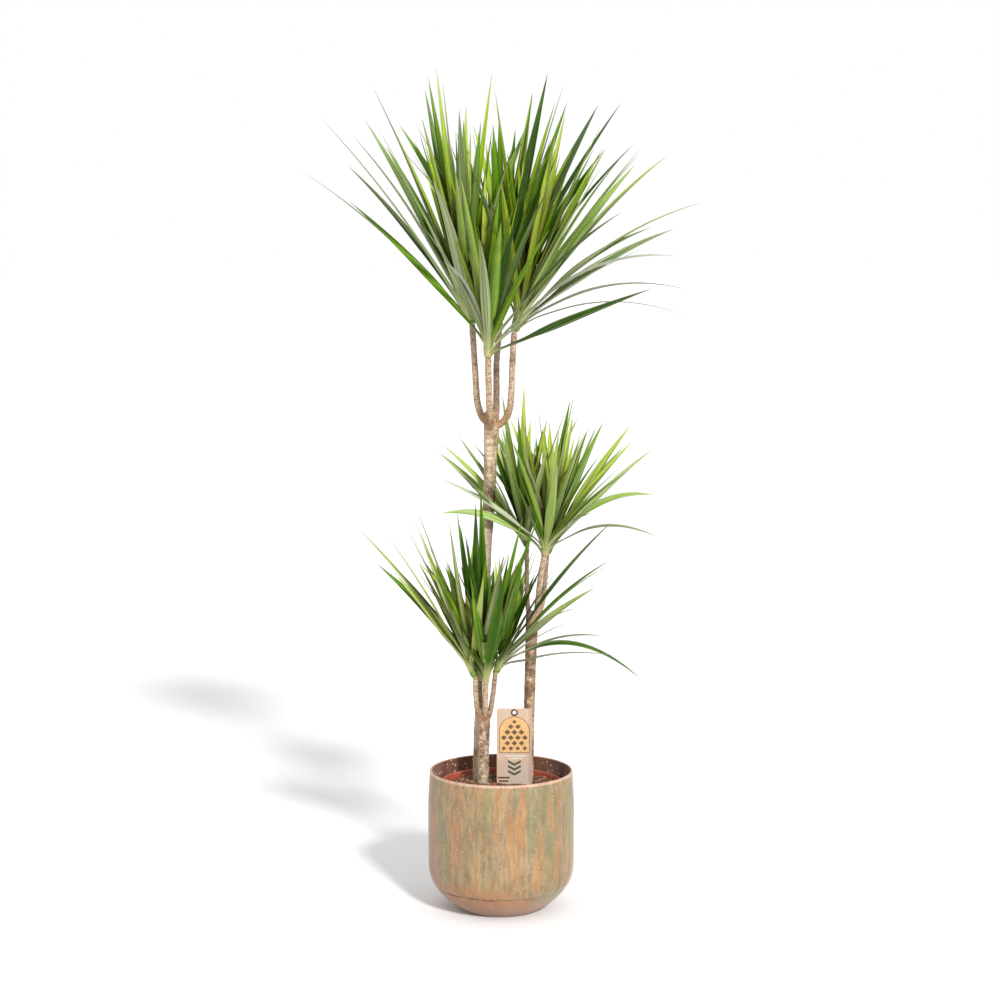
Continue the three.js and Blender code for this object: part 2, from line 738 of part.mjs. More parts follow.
function cane(plant) {
  const trunk = limb(plant.cane, CANE_SIDES, CANE_STEP);
  const branches = plant.branches.map((points) => limb(points, BRANCH_SIDES, BRANCH_STEP));
  return mainBody(wasm.Manifold.union([trunk, ...branches]));
}

// ---- Assembly -----------------------------------------------------------------------------

const patina = finish('#b39a78', 0.6, 0.35);
const copper = finish('#b78a66', 0.5, 0.5);
const terracotta = finish('#c8674b', 0.55);
const earth = finish('#3d2a20', 1);
const barkPale = finish('#b59a80', 0.9);
const barkBrown = finish('#93745a', 0.9);
const barkGrey = finish('#8a7a62', 0.9);
const leafGreen = finish('#4b7d23', 0.45);
const leafMid = finish('#578a2c', 0.45);
const leafFresh = finish('#5f9a2a', 0.45);
const card = finish('#d8c0b2', 0.6);
const brass = finish('#8a6a4a', 0.4, 0.8);

const LABEL_PLACE = new THREE.Vector3(LABEL.centreX, LABEL.centreY, 0);

const planter = new THREE.Group();
planter.add(meshOf('planter_body', planterBody(), patina));
planter.add(meshOf('planter_base', planterBase(), copper));

const buried = [TALL, MIDDLE, SHORT].map((plant) => limb(plant.cane, CANE_SIDES, CANE_STEP, GAP + 0.1));
buried.push(solidOf(labelCard(GAP)).translate(LABEL_PLACE.toArray()));
const nursery = new THREE.Group();
nursery.add(meshOf('nursery_pot', nurseryPot(), terracotta));
nursery.add(meshOf('soil', soil(buried), earth));

const plants = new THREE.Group();
plants.add(meshOf('cane_tall', cane(TALL), barkPale));
plants.add(meshOf('cane_middle', cane(MIDDLE), barkBrown));
plants.add(meshOf('cane_short', cane(SHORT), barkGrey));
plants.add(meshOf('foliage_tall', foliage(TALL), leafGreen));
plants.add(meshOf('foliage_middle', foliage(MIDDLE), leafMid));
plants.add(meshOf('foliage_short', foliage(SHORT), leafFresh));

const label = new THREE.Group();
label.position.copy(LABEL_PLACE);
label.add(meshOf('label_card', solidOf(labelCard()), card));
const ring = meshOf('label_eyelet', eyelet(), brass);
ring.position.z = LABEL.top - LABEL.holeDrop;
label.add(ring);

const dracaena = new THREE.Group();
dracaena.add(planter, nursery, plants, label);

export default dracaena;
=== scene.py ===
"""A potted dracaena with three canes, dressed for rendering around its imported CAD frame.

Sizes and places of pieces are in millimetres, in the frame's own axes, and are turned into
metres as each mesh is made. The plant is seen from -Y.
"""

from math import atan2, copysign, cos, exp, hypot, pi, radians, sin
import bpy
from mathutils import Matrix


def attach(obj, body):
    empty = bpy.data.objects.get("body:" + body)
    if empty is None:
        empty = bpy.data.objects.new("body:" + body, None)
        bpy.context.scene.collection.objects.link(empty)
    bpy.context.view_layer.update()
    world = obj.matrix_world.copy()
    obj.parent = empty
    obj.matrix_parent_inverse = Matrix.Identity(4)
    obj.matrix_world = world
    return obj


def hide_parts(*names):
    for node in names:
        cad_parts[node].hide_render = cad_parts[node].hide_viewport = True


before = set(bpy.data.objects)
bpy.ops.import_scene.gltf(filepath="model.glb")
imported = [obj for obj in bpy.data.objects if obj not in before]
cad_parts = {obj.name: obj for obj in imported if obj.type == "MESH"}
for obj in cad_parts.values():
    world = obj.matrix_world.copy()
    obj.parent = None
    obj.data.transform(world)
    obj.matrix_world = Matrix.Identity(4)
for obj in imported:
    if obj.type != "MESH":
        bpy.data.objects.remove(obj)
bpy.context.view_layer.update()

from types import SimpleNamespace as Size

import bmesh
import bpy
import numpy as np
from mathutils import Matrix, Vector, noise

MM = 0.001

# ---- Sizes and places ----

PLANTER = Size(height=240, radius=125, wall=2, foot_radius=68, foot_rise=85, foot_curve=2.55,
               neck_start=185, neck_curve=1.5, neck_in=3.4, seam=43, lap=10, dish_inset=0.6)
PLANTER_SIDES = 180
HEM = 4.6  # height of the bare folded edge along the planter's rim
HEM_PROUD = 0.45  # how far it stands out
JOINT = Size(towards=124, half_width=2.2, proud=0.5)  # the sheet's lapped joint, inside
GROOVE = Size(towards=230, least=0.2, open=1.1)  # the crease over the dish, deeper one way

GAP = 0.3  # between pieces that stand in one another
NURSERY = Size(height=217.5, wall=1.5, foot_radius=65, band_radius=101, rim_radius=103.5,
               rim_band=13, drain_holes=6, drain_radius=5, drain_circle=42)
NURSERY_FLOOR = PLANTER.wall + GAP
NURSERY_TOP = NURSERY_FLOOR + NURSERY.height
NURSERY_SIDES = 128

SOIL = Size(edge_height=210, mound=8, clearance=0.9, lumps=620, crumbs=900, seed=211)
LABEL = Size(width=60, bottom=168, top=348, point=26, point_width=22, thickness=1, corner=4.5,
             x=22.5, y=-10, hole_drop=7)
EYELET = Size(inner=3.2, barrel=3.9, flange=6, flange_thickness=0.6, sides=48)
INK = 0.05  # how thick each layer of print is
INKS = dict(ochre=(235, 185, 120), brown=(110, 74, 48), grey=(74, 82, 60),
            white=(238, 232, 222))

BRANCH_SIDES = 20
CANE_SIDES = 28
CANE_STEP = 3

HEAD = Size(first_leaf=9, sunk=0.7, taper=0.6, top_rise=84, follow=0.35, extra_age=0.3)
BLADE = Size(half_width=9, arch=0.15, belly=0.45, roll=0.95, clasped=0.24, opened=0.42, taper=2.3,
             fold=0.3, root_fold=0.55, tip_thickness=0.16, root_thickness=0.42)
BLADE_STEPS = 18
FRESH = Size(wider=1.15, roll=0.85, pale=0.4)  # the few low leaves that stay green, face on
FADED = Size(below=0.34, pale=0.94)  # the other leaves whose reach is less steep than this
DULL_WIDTH = 0.8  # the share of its width that a dull leaf keeps
CUT_SHEATH = Size(head="front", low=44, high=84, foot_radius=15, top_radius=24, wrap=44,
                  thickness=0.8, rows=8, columns=10, green=1)
GOLDEN_ANGLE = 2.39996
UP = Vector((0, 0, 1))

# The short plant's leaves stay on the near side of this plane and the middle plant's on the far
# side; behind it the short plant's leaves stay below the shelf.
CURTAIN = Size(point=Vector((50, -2, 500)), normal=Vector((0.25, 1, 0.35)).normalized(), margin=9)
SHELF = Size(height=598, margin=10)


def tuft(**given):
    """A leafy head, with what is usual for the values it isn't given."""
    usual = dict(glow=0, worn=None, cream=5, steep_back=0, parted=(), inner_parted=None, dull=(),
                 fresh=(), extra=())
    return Size(**{**usual, **given})


# Canes and branches are (x, y, z, radius) along each. A head stands on its branch's end and leans
# as given. A reach, as (right, back, up), is where the tip of a leaf that stands out is seen from
# there, with the arch of the leaf where it droops; other leaves are filled in by rule, and inner
# ones are finer leaves among them. Dull and fresh say which of the reaches are so.
# Each plant also lists the painted shade on each of its branches, the painted shade on its cane's right
# side below the fork, and the painted highlight on its cane's left side.
TALL = Size(
    name="tall", wide=1.12, clasp=0.3, worn=0.8, shaded=0.9, pale_side=0.25, dim=[0.1, 0, 0.85, 0],
    rings=[300, 372, 465, 560, 655, 742, 771, 800],
    bark=("bark_pale", (250, 234, 202), (242, 212, 174), (160, 126, 92), 0.12, 0.95),
    leaf=("leaf_dark", (40, 82, 0), (124, 182, 14), (204, 240, 30), (188, 210, 128)),
    cane=[(-37.5, 34, 150, 12), (-37.3, 34, 232, 12), (-34.5, 33, 330, 11.2), (-31, 32, 460, 10.6),
          (-26.5, 31, 620, 10.3), (-20.6, 30, 700, 10.2), (-18.3, 29, 771, 11.2), (-16.5, 28, 812, 13),
          (-16.5, 28, 844, 13.2), (-16.5, 28, 852, 10.5)],
    branches=[
        [(-19, 28, 829, 6), (-32, 28, 842, 6), (-40, 28, 866, 5.8), (-43, 27, 905, 5.5),
         (-46, 25, 955, 5.4), (-49, 24, 999, 5.4)],
        [(-18, 20, 824, 6), (-18.5, 6, 836, 6), (-19.5, -6, 860, 5.8), (-21, -12, 902, 5.5),
         (-22, -14, 944, 5.4)],
        [(-14, 34, 832, 6), (-9, 43, 848, 6), (-8, 48, 880, 5.6), (-8, 50, 930, 5.4), (-2, 52, 1003, 5.4)],
        [(-12, 26, 826, 6), (3, 24, 834, 6), (13, 23, 852, 6), (17, 22, 882, 5.6), (19, 22, 935, 5.4),
         (22, 22, 985, 5.4)],
    ],
    heads=[
        tuft(name="left", lean=(-0.22, 0, 0.97), stem=70, core=8.5, length=400, fill=15, inner=15,
             low_rise=38, seed=11, glow=0.12, worn=0.9,
             reaches=[(-290, 60, 258), (-244, -100, 338), (-190, -130, 308), (-187, 150, 348),
                      (-162, -80, 393), (-122, -200, 260), (-79, -120, 337), (-81, 80, 396),
                      (-74, 40, 414),
                      (-59, 0, 425), (-47, -60, 400), (-18, -180, 348), (34, -50, 415), (16, -140, 331)],
             dull=[(-290, 60, 258)]),
        tuft(name="front", lean=(0, -0.3, 0.95), stem=64, core=8, cream=24, length=360, fill=13, inner=15,
             low_rise=42, seed=23, steep_back=66, glow=-0.08, worn=0.42,
             reaches=[(-235, 60, 262), (-71, -150, 161, 0.4), (22, -190, 226), (44, -170, 226),
                      (-13, -210, 201), (266, -120, 119, 0.02), (216, -120, 241), (250, -140, 183),
                      (302, -130, 171, 0.32)],
             dull=[(-71, -150, 161), (302, -130, 171), (250, -140, 183)],
             fresh=[(266, -120, 119)]),
        tuft(name="back", lean=(0.06, 0.25, 0.96), stem=70, core=8.5, length=400, fill=19, inner=14,
             low_rise=36, seed=37, glow=-0.1, worn=0.3,
             reaches=[(55, 60, 387), (82, 80, 422), (105, -60, 393), (95, 60, 373), (168, 60, 367),
                      (210, 100, 374)]),
        tuft(name="right", lean=(0.25, 0, 0.96), stem=70, core=8.5, length=380, fill=11, inner=16,
             low_rise=36, seed=41, glow=0.22, worn=0.8,
             reaches=[(-32, -60, 398), (86, 40, 368), (141, -80, 341), (137, 80, 312), (151, -60, 307),
                      (139, -150, 272), (173, -160, 291), (205, -60, 302), (206, 80, 282), (262, 60, 299),
                      (203, -140, 255), (226, -60, 176), (309, -80, 217), (272, 60, 174),
                      (309, 60, 68, 0.25),
                      (313, -40, 20, 0.25)]),
    ],
)
MIDDLE = Size(
    name="middle", wide=0.97, clasp=0.45, worn=0.85, shaded=0, pale_side=0, dim=[0.9, 0, 0.5],
    rings=[262, 300, 352, 378, 432, 470],
    bark=("bark_brown", (240, 208, 172), (196, 154, 116), (122, 90, 64), 0.4, 0.7),
    leaf=("leaf_mid", (80, 132, 6), (164, 214, 32), (240, 252, 84), (222, 230, 148)),
    cane=[(46.2, 24, 150, 9.4), (46.2, 24, 230, 9.4), (48, 24, 330, 9.2), (50.3, 24, 420, 9.6),
          (52.2, 24, 480, 10.6), (53, 24, 503, 11), (53, 24, 510, 8.8)],
    branches=[
        [(50, 28, 492, 4.6), (46, 34, 514, 4.4), (44, 38, 560, 4), (44, 40, 617, 4)],
        [(56, 22, 490, 5.4), (61, 18, 511, 5.4), (64.5, 17, 545, 5.2), (68, 16, 577, 5), (73, 16, 605, 5)],
        [(57, 27, 492, 4.8), (66, 36, 507, 4.8), (73, 43, 533, 4.5), (76, 48, 570, 4.3),
         (79, 50, 603, 4.3)],
    ],
    heads=[
        tuft(name="left", lean=(-0.18, 0.12, 0.97), stem=50, core=6.5, length=280, fill=9, inner=13,
             low_rise=34, seed=59, parted=[(194, 20)],
             reaches=[(-6, -60, 283), (-5, 40, 260), (-16, -80, 235), (-43, -60, 216), (-48, 60, 174),
                      (-146, 27, 176)],
             extra=[(30, -20, 210), (52, -16, 168), (14, -30, 186), (-70, -62, 152), (-96, -58, 112)]),
        tuft(name="front", lean=(0.12, -0.2, 0.97), stem=50, core=7, cream=18, length=280, fill=8,
             inner=13, low_rise=34, seed=67, parted=[(175, 14)],
             reaches=[(48, -60, 282), (22, -100, 225), (67, -100, 228), (91, 0, 225), (125, -100, 164),
                      (140, -90, 157), (81, -95, 87), (178, -130, 120, 0.3), (186, -120, 45, 0.3),
                      (-175, -26, 77, 0.3), (-180, -31, 138)],
             dull=[(-180, -31, 138)],
             fresh=[(178, -130, 120), (-175, -26, 77)],
             extra=[(-36, -60, 196), (-62, -40, 158), (20, -110, 170)]),
        tuft(name="back", lean=(0.28, 0.2, 0.93), stem=50, core=6.5, length=275, fill=9, inner=13,
             low_rise=32, seed=71, parted=[(194, 13)],
             reaches=[(98, 40, 228), (146, 60, 220), (185, 60, 178)]),
    ],
)
SHORT = Size(
    name="short", wide=1.02, clasp=0.85, worn=0.8, shaded=0.5, pale_side=0.7, dim=[0.1, 0.7, 0, 0.4],
    rings=[250, 285, 316],
    bark=("bark_grey", (248, 226, 196), (194, 158, 122), (98, 76, 56), 0.45, 0.9),
    leaf=("leaf_fresh", (44, 92, 0), (126, 184, 6), (222, 246, 40), (200, 214, 132)),
    cane=[(-31, 6, 150, 10.6), (-31, 6, 232, 10.6), (-30.4, 5, 290, 10.4), (-29.6, 3, 325, 10.8),
          (-29.4, 2, 340, 10.6), (-29.4, 2, 346, 8)],
    branches=[
        [(-33, 2, 324, 4.6), (-39.5, 0, 340, 4.6), (-43, -3, 364, 4.3), (-44, -4, 398, 4.2)],
        [(-31, 6, 330, 4.2), (-34, 10, 348, 4), (-36, 11, 368, 3.8), (-36, 9, 392, 3.8)],
        [(-28, -3, 324, 4.8), (-27, -11, 343, 4.7), (-26.5, -15, 366, 4.5), (-26, -16, 391, 4.5)],
        [(-26, 1, 324, 4.8), (-19.5, -2, 338, 4.6), (-14.5, -4, 366, 4.4), (-10, -6, 406, 4.3)],
    ],
    heads=[
        tuft(name="left", lean=(-0.3, -0.05, 0.95), stem=46, core=6.5, length=295, fill=8, inner=10,
             low_rise=32, seed=83, parted=[(73, 36), (17, 19)], glow=0.75, worn=1.35,
             reaches=[(-200, -60, 271), (-147, -80, 260), (-115, -60, 269), (-107, -70, 298),
                      (-97, -90, 305), (-43, -60, 278)]),
        tuft(name="back", lean=(-0.12, 0.1, 0.97), stem=46, core=6, cream=36, length=290, fill=7,
             inner=10, low_rise=36, seed=97, glow=-0.12, worn=0.2, parted=[(83, 58), (12, 22)],
             inner_parted=[(66, 78)],
             reaches=[(-38, -68, 302), (-32, -78, 278), (-6, -118, 319)]),
        tuft(name="front", lean=(0.02, -0.28, 0.95), stem=48, core=6.5, cream=42, length=300, fill=9,
             inner=12, low_rise=34, seed=103, parted=[(98, 28), (26, 32)], glow=-0.12, worn=0.15,
             reaches=[(-8, -60, 342), (62, -80, 298), (88, -110, 302)],
             extra=[(120, -60, 205), (84, -70, 250)]),
        tuft(name="right", lean=(0.34, -0.08, 0.93), stem=46, core=6.5, length=290, fill=7, inner=10,
             low_rise=30, seed=113, parted=[(121, 31), (26, 34)], worn=0.95,
             reaches=[(194, -120, 279), (189, -100, 210), (184, -130, 206), (135, -150, 138),
                      (121, -160, 116), (179, -140, 90), (200, -110, 52), (246, -90, 6, 0.42)],
             fresh=[(246, -90, 6)]),
    ],
)
PLANTS = (TALL, MIDDLE, SHORT)

# The camera's place is in metres, and angles are in degrees.
CAMERA = Size(place=(-0.002, -3.9, 1.1455), down=6.46, focal=83.664, sensor=36)
KEY = Size(towards=Vector((-0.63, 1.57, -1)), strength=3.9, soft=7)
FLOOR = Size(half_size=60000, below=0.2)
FLOOR_COLOUR = (0.73, 0.73, 0.73, 1)

# ---- Materials ----

LIGHT_GAIN = 0.55  # the photographed colours are this much darker before the lamps reach them


def paint(red, green, blue, gain=LIGHT_GAIN):
    """A surface colour from the 0 to 255 values that it shows when lit."""
    linear = []
    for value in (red, green, blue):
        v = value / 255
        linear.append(gain * (v / 12.92 if v <= 0.04045 else ((v + 0.055) / 1.055) ** 2.4))
    return (*linear, 1)


class Graph:
    """A material's nodes, made one call at a time, and the colour painted so far. Coordinates are
    the frame's own, in metres. A colour is a socket, or a tuple of the numbers paint takes. A
    number is a plain one, a socket, or a tuple of what band takes."""

    def __init__(self, name, roughness=0.5, metallic=0.0):
        self.material = bpy.data.materials.new(name)
        self.material.use_nodes = True
        self.tree = self.material.node_tree
        self.shader = self.tree.nodes["Principled BSDF"]
        self.colour = None
        self.set("Roughness", roughness)
        self.set("Metallic", metallic)

    def set(self, name, number):
        self.shader.inputs[name].default_value = number

    def feed(self, socket, value):
        if isinstance(value, tuple) and isinstance(value[0], bpy.types.NodeSocket):
            value = self.band(*value)
        if isinstance(value, bpy.types.NodeSocket):
            self.tree.links.new(value, socket)
        elif value is not None:
            socket.default_value = value

    def node(self, kind, *values, **settings):
        """A new node with these settings, its sockets fed in order; None leaves one as it is."""
        made = self.tree.nodes.new("ShaderNode" + kind)
        for key, setting in settings.items():
            setattr(made, key, setting)
        for socket, value in zip(made.inputs, values):
            self.feed(socket, value)
        return made

    def place(self, stretch=(1, 1, 1), turn=(0, 0, 0)):
        """The point on the surface, scaled by axis and then turned."""
        point = self.node("TexCoord").outputs["Object"]
        return self.node("Mapping", point, None, turn, stretch).outputs["Vector"]

    def axis(self, letter):
        return self.node("SeparateXYZ", self.place()).outputs[letter]

    def value(self, name):
        """A number stored on the mesh."""
        return self.node("Attribute", attribute_name=name).outputs["Fac"]

    def combine(self, *parts):
        return self.node("CombineXYZ", *parts).outputs[0]

    def noise(self, scale, detail=3, roughness=0.55, stretch=(1, 1, 1), turn=(0, 0, 0), at=None):
        where = self.place(stretch, turn) if at is None else at
        return self.node("TexNoise", where, None, scale, detail, roughness).outputs["Fac"]

    def cells(self, scale, stretch=(1, 1, 1), turn=(0, 0, 0), at=None, feature="F1"):
        where = self.place(stretch, turn) if at is None else at
        return self.node("TexVoronoi", where, None, scale, feature=feature).outputs["Distance"]

    def math(self, operation, *values):
        return self.node("Math", *values, operation=operation).outputs[0]

    def times(self, first, *others):
        for other in others:
            first = self.math("MULTIPLY", first, other)
        return first

    def plus(self, first, *others):
        for other in others:
            first = self.math("ADD", first, other)
        return first

    def band(self, value, low, high, start=0.0, end=1.0):
        """start below low, end above high, and smooth between."""
        return self.node("MapRange", value, low, high, start, end,
                         interpolation_type="SMOOTHSTEP").outputs["Result"]

    def mix(self, amount, a, b):
        made = self.node("Mix", amount, data_type="RGBA")
        for socket, colour in zip(made.inputs[6:], (a, b)):
            self.feed(socket, paint(*colour) if isinstance(colour, tuple) else colour)
        return made.outputs[2]

    def blend(self, value, low, high, a, b):
        """Colour a where value is below low, turning to b above high."""
        return self.mix((value, low, high), a, b)

    def wash(self, value, low, high, strength, colour):
        """Paints over what is there, more and more as value goes from low to high."""
        self.colour = self.mix((value, low, high, 0, strength), self.colour, colour)

    def cover(self, colour, *amounts):
        """Paints over what is there, by these amounts multiplied together."""
        self.colour = self.mix(self.times(*amounts), self.colour, colour)

    def ramp(self, value, stops):
        made = self.node("ValToRGB", value)
        points = made.color_ramp.elements
        while len(points) < len(stops):
            points.new(0.5)
        for point, (position, colour) in zip(points, stops):
            point.position = position
            point.color = paint(*colour)
        return made.outputs[0]

    def finish(self, roughness=None, bump=None, height=0.3, distance=0.001):
        self.feed(self.shader.inputs["Base Color"], self.colour)
        self.feed(self.shader.inputs["Roughness"], roughness)
        if bump is not None:
            made = self.node("Bump")
            for name, value in (("Strength", height), ("Distance", distance), ("Height", bump)):
                self.feed(made.inputs[name], value)
            self.feed(self.shader.inputs["Normal"], made.outputs[0])
        return self.material


def seam_painted_shade(g, low, high):
    """Darkens the crease between body and dish with painted shade, unevenly, and hardly at all at the
    right.
    """
    height = g.axis("Z")
    uneven = g.band(g.noise(120, 4, 0.75, (1, 1, 2.5)), 0.43, 0.55)
    g.cover((96, 64, 42), (height, (low - 0.6) * MM, low * MM),
            (height, high * MM, (high - 1.4) * MM), uneven,
            (g.axis("X"), 0.06, 0.015, 0.1, 0.95))


def patina_material():
    """Brushed copper going green outside, a bare hem, and dark oxide with pale spots inside."""
    g = Graph("patina", 0.6, 0.1)
    g.set("Sheen Weight", 0.25)
    g.set("Sheen Roughness", 0.4)
    patch = g.noise(24, 4, 0.6, (1, 1, 0.28))
    other = g.noise(34, 4, 0.6, (1, 1, 0.16), (0, 0, 1.9))
    streak = g.noise(78, 4, 0.62, (1, 1, 0.12))
    brush = g.noise(150, 3, 0.6, (1, 1, 0.22))
    grain = g.noise(900, 2, 0.7, (1, 1, 0.5))
    across = g.axis("X")
    g.colour = g.blend(brush, 0.36, 0.66, (168, 142, 104), (196, 162, 118))
    # Orange where the copper shows, green where it has weathered, most of it towards the right.
    g.wash(g.plus(g.times(other, 0.6), g.times(streak, 0.4)), 0.46, 0.6, 0.8, (204, 142, 82))
    green = g.plus(g.times(patch, 0.55), g.times(streak, 0.45), (across, 0.0, 0.09, 0, -0.05))
    g.wash(green, 0.52, 0.4, 0.75, (150, 148, 106))
    g.cover((206, 150, 120), (across, -0.04, -0.11), (other, 0.45, 0.6), 0.7)
    # Rusty warmth gathers just above the seam, on the left more than on the right.
    low = g.band(g.plus(g.times(streak, 0.03), g.axis("Z")), 0.088, 0.06)
    g.cover((206, 144, 94), low, (across, 0.05, -0.03), (patch, 0.3, 0.5), 0.85)
    g.wash(brush, 0.5, 0.7, 0.3, (214, 180, 134))
    g.wash(brush, 0.47, 0.3, 0.3, (136, 112, 76))
    stain = g.noise(46, 4, 0.65, (1, 1, 0.3), (0.3, 0.1, 0.6))
    g.wash(stain, 0.52, 0.68, 0.45, (138, 110, 78))
    g.wash(grain, 0.56, 0.75, 0.45, (222, 204, 172))
    g.wash(grain, 0.42, 0.28, 0.4, (136, 110, 76))
    for scale, size, least in ((130, 0.13, 0.36), (210, 0.2, 0.42)):
        speck = g.band(g.cells(scale, (1, 1, 0.75), (0.2, 0.1, scale)), size, size * 0.5)
        kept = g.band(g.noise(55, 2, turn=(0, 0, scale)), least, least + 0.1)
        g.cover((226, 214, 186), speck, kept, 0.7)
    pin = g.band(g.cells(120, (1, 1, 0.8), (0.4, 0.2, 0.9)), 0.15, 0.07)
    g.cover((92, 76, 50), pin, (g.noise(35, 2), 0.46, 0.56))
    # Painted shade in the crease at the seam, above the dish.
    seam_painted_shade(g, PLANTER.seam, PLANTER.seam + 1.9)
    oxide = g.blend(patch, 0.35, 0.65, (138, 82, 66), (172, 116, 90))
    oxide = g.mix((streak, 0.5, 0.65, 0, 0.4), oxide, (112, 74, 62))
    spot = g.band(g.cells(125, turn=(0.3, 0.5, 0.1)), 0.25, 0.17)
    oxide = g.mix(g.times(spot, (g.noise(70, 1), 0.36, 0.4)), oxide, (255, 244, 226))
    g.cover(oxide, g.value("inside"))
    g.cover(g.blend(brush, 0.35, 0.65, (222, 172, 140), (238, 200, 174)), g.value("hem"))
    rough = g.band(g.noise(80, stretch=(1, 1, 0.3)), 0.3, 0.7, 0.5, 0.7)
    return g.finish(rough, g.plus(grain, brush), 0.25, 0.0006)


def copper_material():
    """The dish's plainer copper, darker at its lower edge, with a little green at the right."""
    g = Graph("copper", 0.5, 0.2)
    g.set("Sheen Weight", 0.15)
    cloud = g.noise(26, 4, 0.6)
    fine = g.noise(160, 3, 0.6, (1, 1, 2.2))
    across, height = g.axis("X"), g.axis("Z")
    g.colour = g.blend(cloud, 0.38, 0.62, (186, 128, 86), (206, 150, 106))
    g.wash(fine, 0.45, 0.75, 0.5, (182, 144, 104))
    g.wash(height, 0.016, 0.0, 0.6, (146, 102, 74))
    g.cover((158, 164, 124), (across, 0.035, 0.07), (height, 0.022, 0.036),
            (cloud, 0.35, 0.55), 0.8)
    g.wash(g.noise(800, 2, 0.7), 0.55, 0.75, 0.35, (220, 186, 150))
    g.cover((118, 86, 60), (g.cells(120), 0.14, 0.07), (fine, 0.48, 0.58))
    # Painted shade in the crease at the seam, under the body's lapped edge.
    seam_painted_shade(g, PLANTER.seam - 1.9, PLANTER.seam + 0.4)
    return g.finish((cloud, 0.3, 0.7, 0.42, 0.6), fine, 0.2, 0.0005)


def terracotta_material():
    g = Graph("nursery_plastic", 0.45)
    dust = g.noise(45)
    g.colour = g.blend(dust, 0.4, 0.7, (196, 92, 66), (206, 112, 84))
    g.wash(g.axis("Z"), 0.2165, 0.2195, 0.5, (226, 142, 120))
    return g.finish((dust, 0.4, 0.7, 0.38, 0.55), g.noise(500, 2), 0.12, 0.0004)


def soil_material():
    g = Graph("potting_mix", 0.95)
    lump = g.noise(260, 4, 0.65)
    g.colour = g.blend(lump, 0.35, 0.65, (84, 56, 40), (160, 110, 78))
    g.wash(g.noise(55, 3, 0.6), 0.55, 0.68, 0.5, (100, 100, 56))
    return g.finish(None, lump, 0.8, 0.002)


def crumb_material():
    """Bark, peat and a few pale grains, each lump with its own tone."""
    g = Graph("potting_lumps", 0.9)
    grain = g.noise(420, 3, 0.6, (1, 1, 3))
    g.colour = g.ramp(g.value("tone"), [
        (0.0, (76, 50, 36)), (0.3, (128, 84, 60)), (0.55, (176, 112, 78)), (0.78, (206, 128, 92)),
        (0.9, (130, 138, 70)), (0.97, (222, 200, 164)),
    ])
    g.wash(grain, 0.4, 0.7, 0.5, (64, 42, 30))
    return g.finish(None, grain, 0.6, 0.0012)


def bark_material(name, pale, mid, dark, scars, dotted):
    """Mottled bark with small flattened leaf scars, and rings and dots on the younger wood."""
    g = Graph(name, 0.85)
    warp = g.noise(120, 2)
    shift = g.combine(g.times(warp, 0.006), 0.0, g.times(warp, 0.008))
    bent = g.node("VectorMath", g.place((1, 1, 1.7)), shift, operation="ADD").outputs[0]
    scar = g.cells(95, at=bent, feature="DISTANCE_TO_EDGE")
    patch = g.noise(55, 5, 0.7, (1, 1, 0.5))
    blot = g.noise(130, 4, 0.7, (1, 1, 0.8), (0.4, 0.1, 0.7))
    grain = g.noise(420, 3, 0.65, (1, 1, 0.7))
    ring = g.noise(190, 2, 0.6, (0.12, 0.12, 1))
    turn = g.plus(g.times(g.noise(60, stretch=(1, 1, 0.3)), 2.6), g.times(g.axis("Z"), 105.0))
    line = g.times((g.math("FRACT", turn), 0.2, 0.05), (blot, 0.38, 0.52))
    g.colour = g.blend(patch, 0.36, 0.56, dark, mid)
    g.wash(g.plus(g.times(patch, 0.6), g.times(blot, 0.4)), 0.48, 0.58, 1, pale)
    g.wash(ring, 0.56, 0.7, 0.35, dark)
    g.cover(pale, (scar, 0.1, 0.02, 0, scars), (blot, 0.42, 0.55))
    g.wash(grain, 0.55, 0.72, 0.5, dark)
    g.cover(dark, line, 0.75)
    dot = g.times((g.cells(215, (1, 1, 1.3), (0.2, 0.3, 0.1)), 0.42, 0.24),
                  (blot, 0.34, 0.44))
    light = g.blend(blot, 0.4, 0.62, (236, 208, 178), (206, 168, 136))
    light = g.mix(g.times(dot, dotted), light, (142, 90, 62))
    light = g.mix(g.times(line, 0.3), light, (150, 106, 78))
    # The paler young wood, which also stands as a painted highlight on the cane's left side.
    g.cover(light, g.value("young"), 0.92)
    knob = g.blend(blot, 0.4, 0.6, (172, 116, 80), (214, 166, 126))
    knob = g.mix((grain, 0.52, 0.62, 0, 0.6), knob, (224, 180, 140))
    knob = g.mix(g.times(dot, 0.9), knob, (98, 56, 36))
    g.cover(knob, g.value("knob"), 0.85)
    # Painted shade, on some branches and on the right side of the cane below the fork.
    g.cover((92, 72, 52), g.value("dim"), 0.72)
    relief = g.plus((scar, 0.0, 0.14), g.times(grain, 0.5), g.times(ring, 0.6))
    return g.finish(None, relief, 0.5, 0.0012)


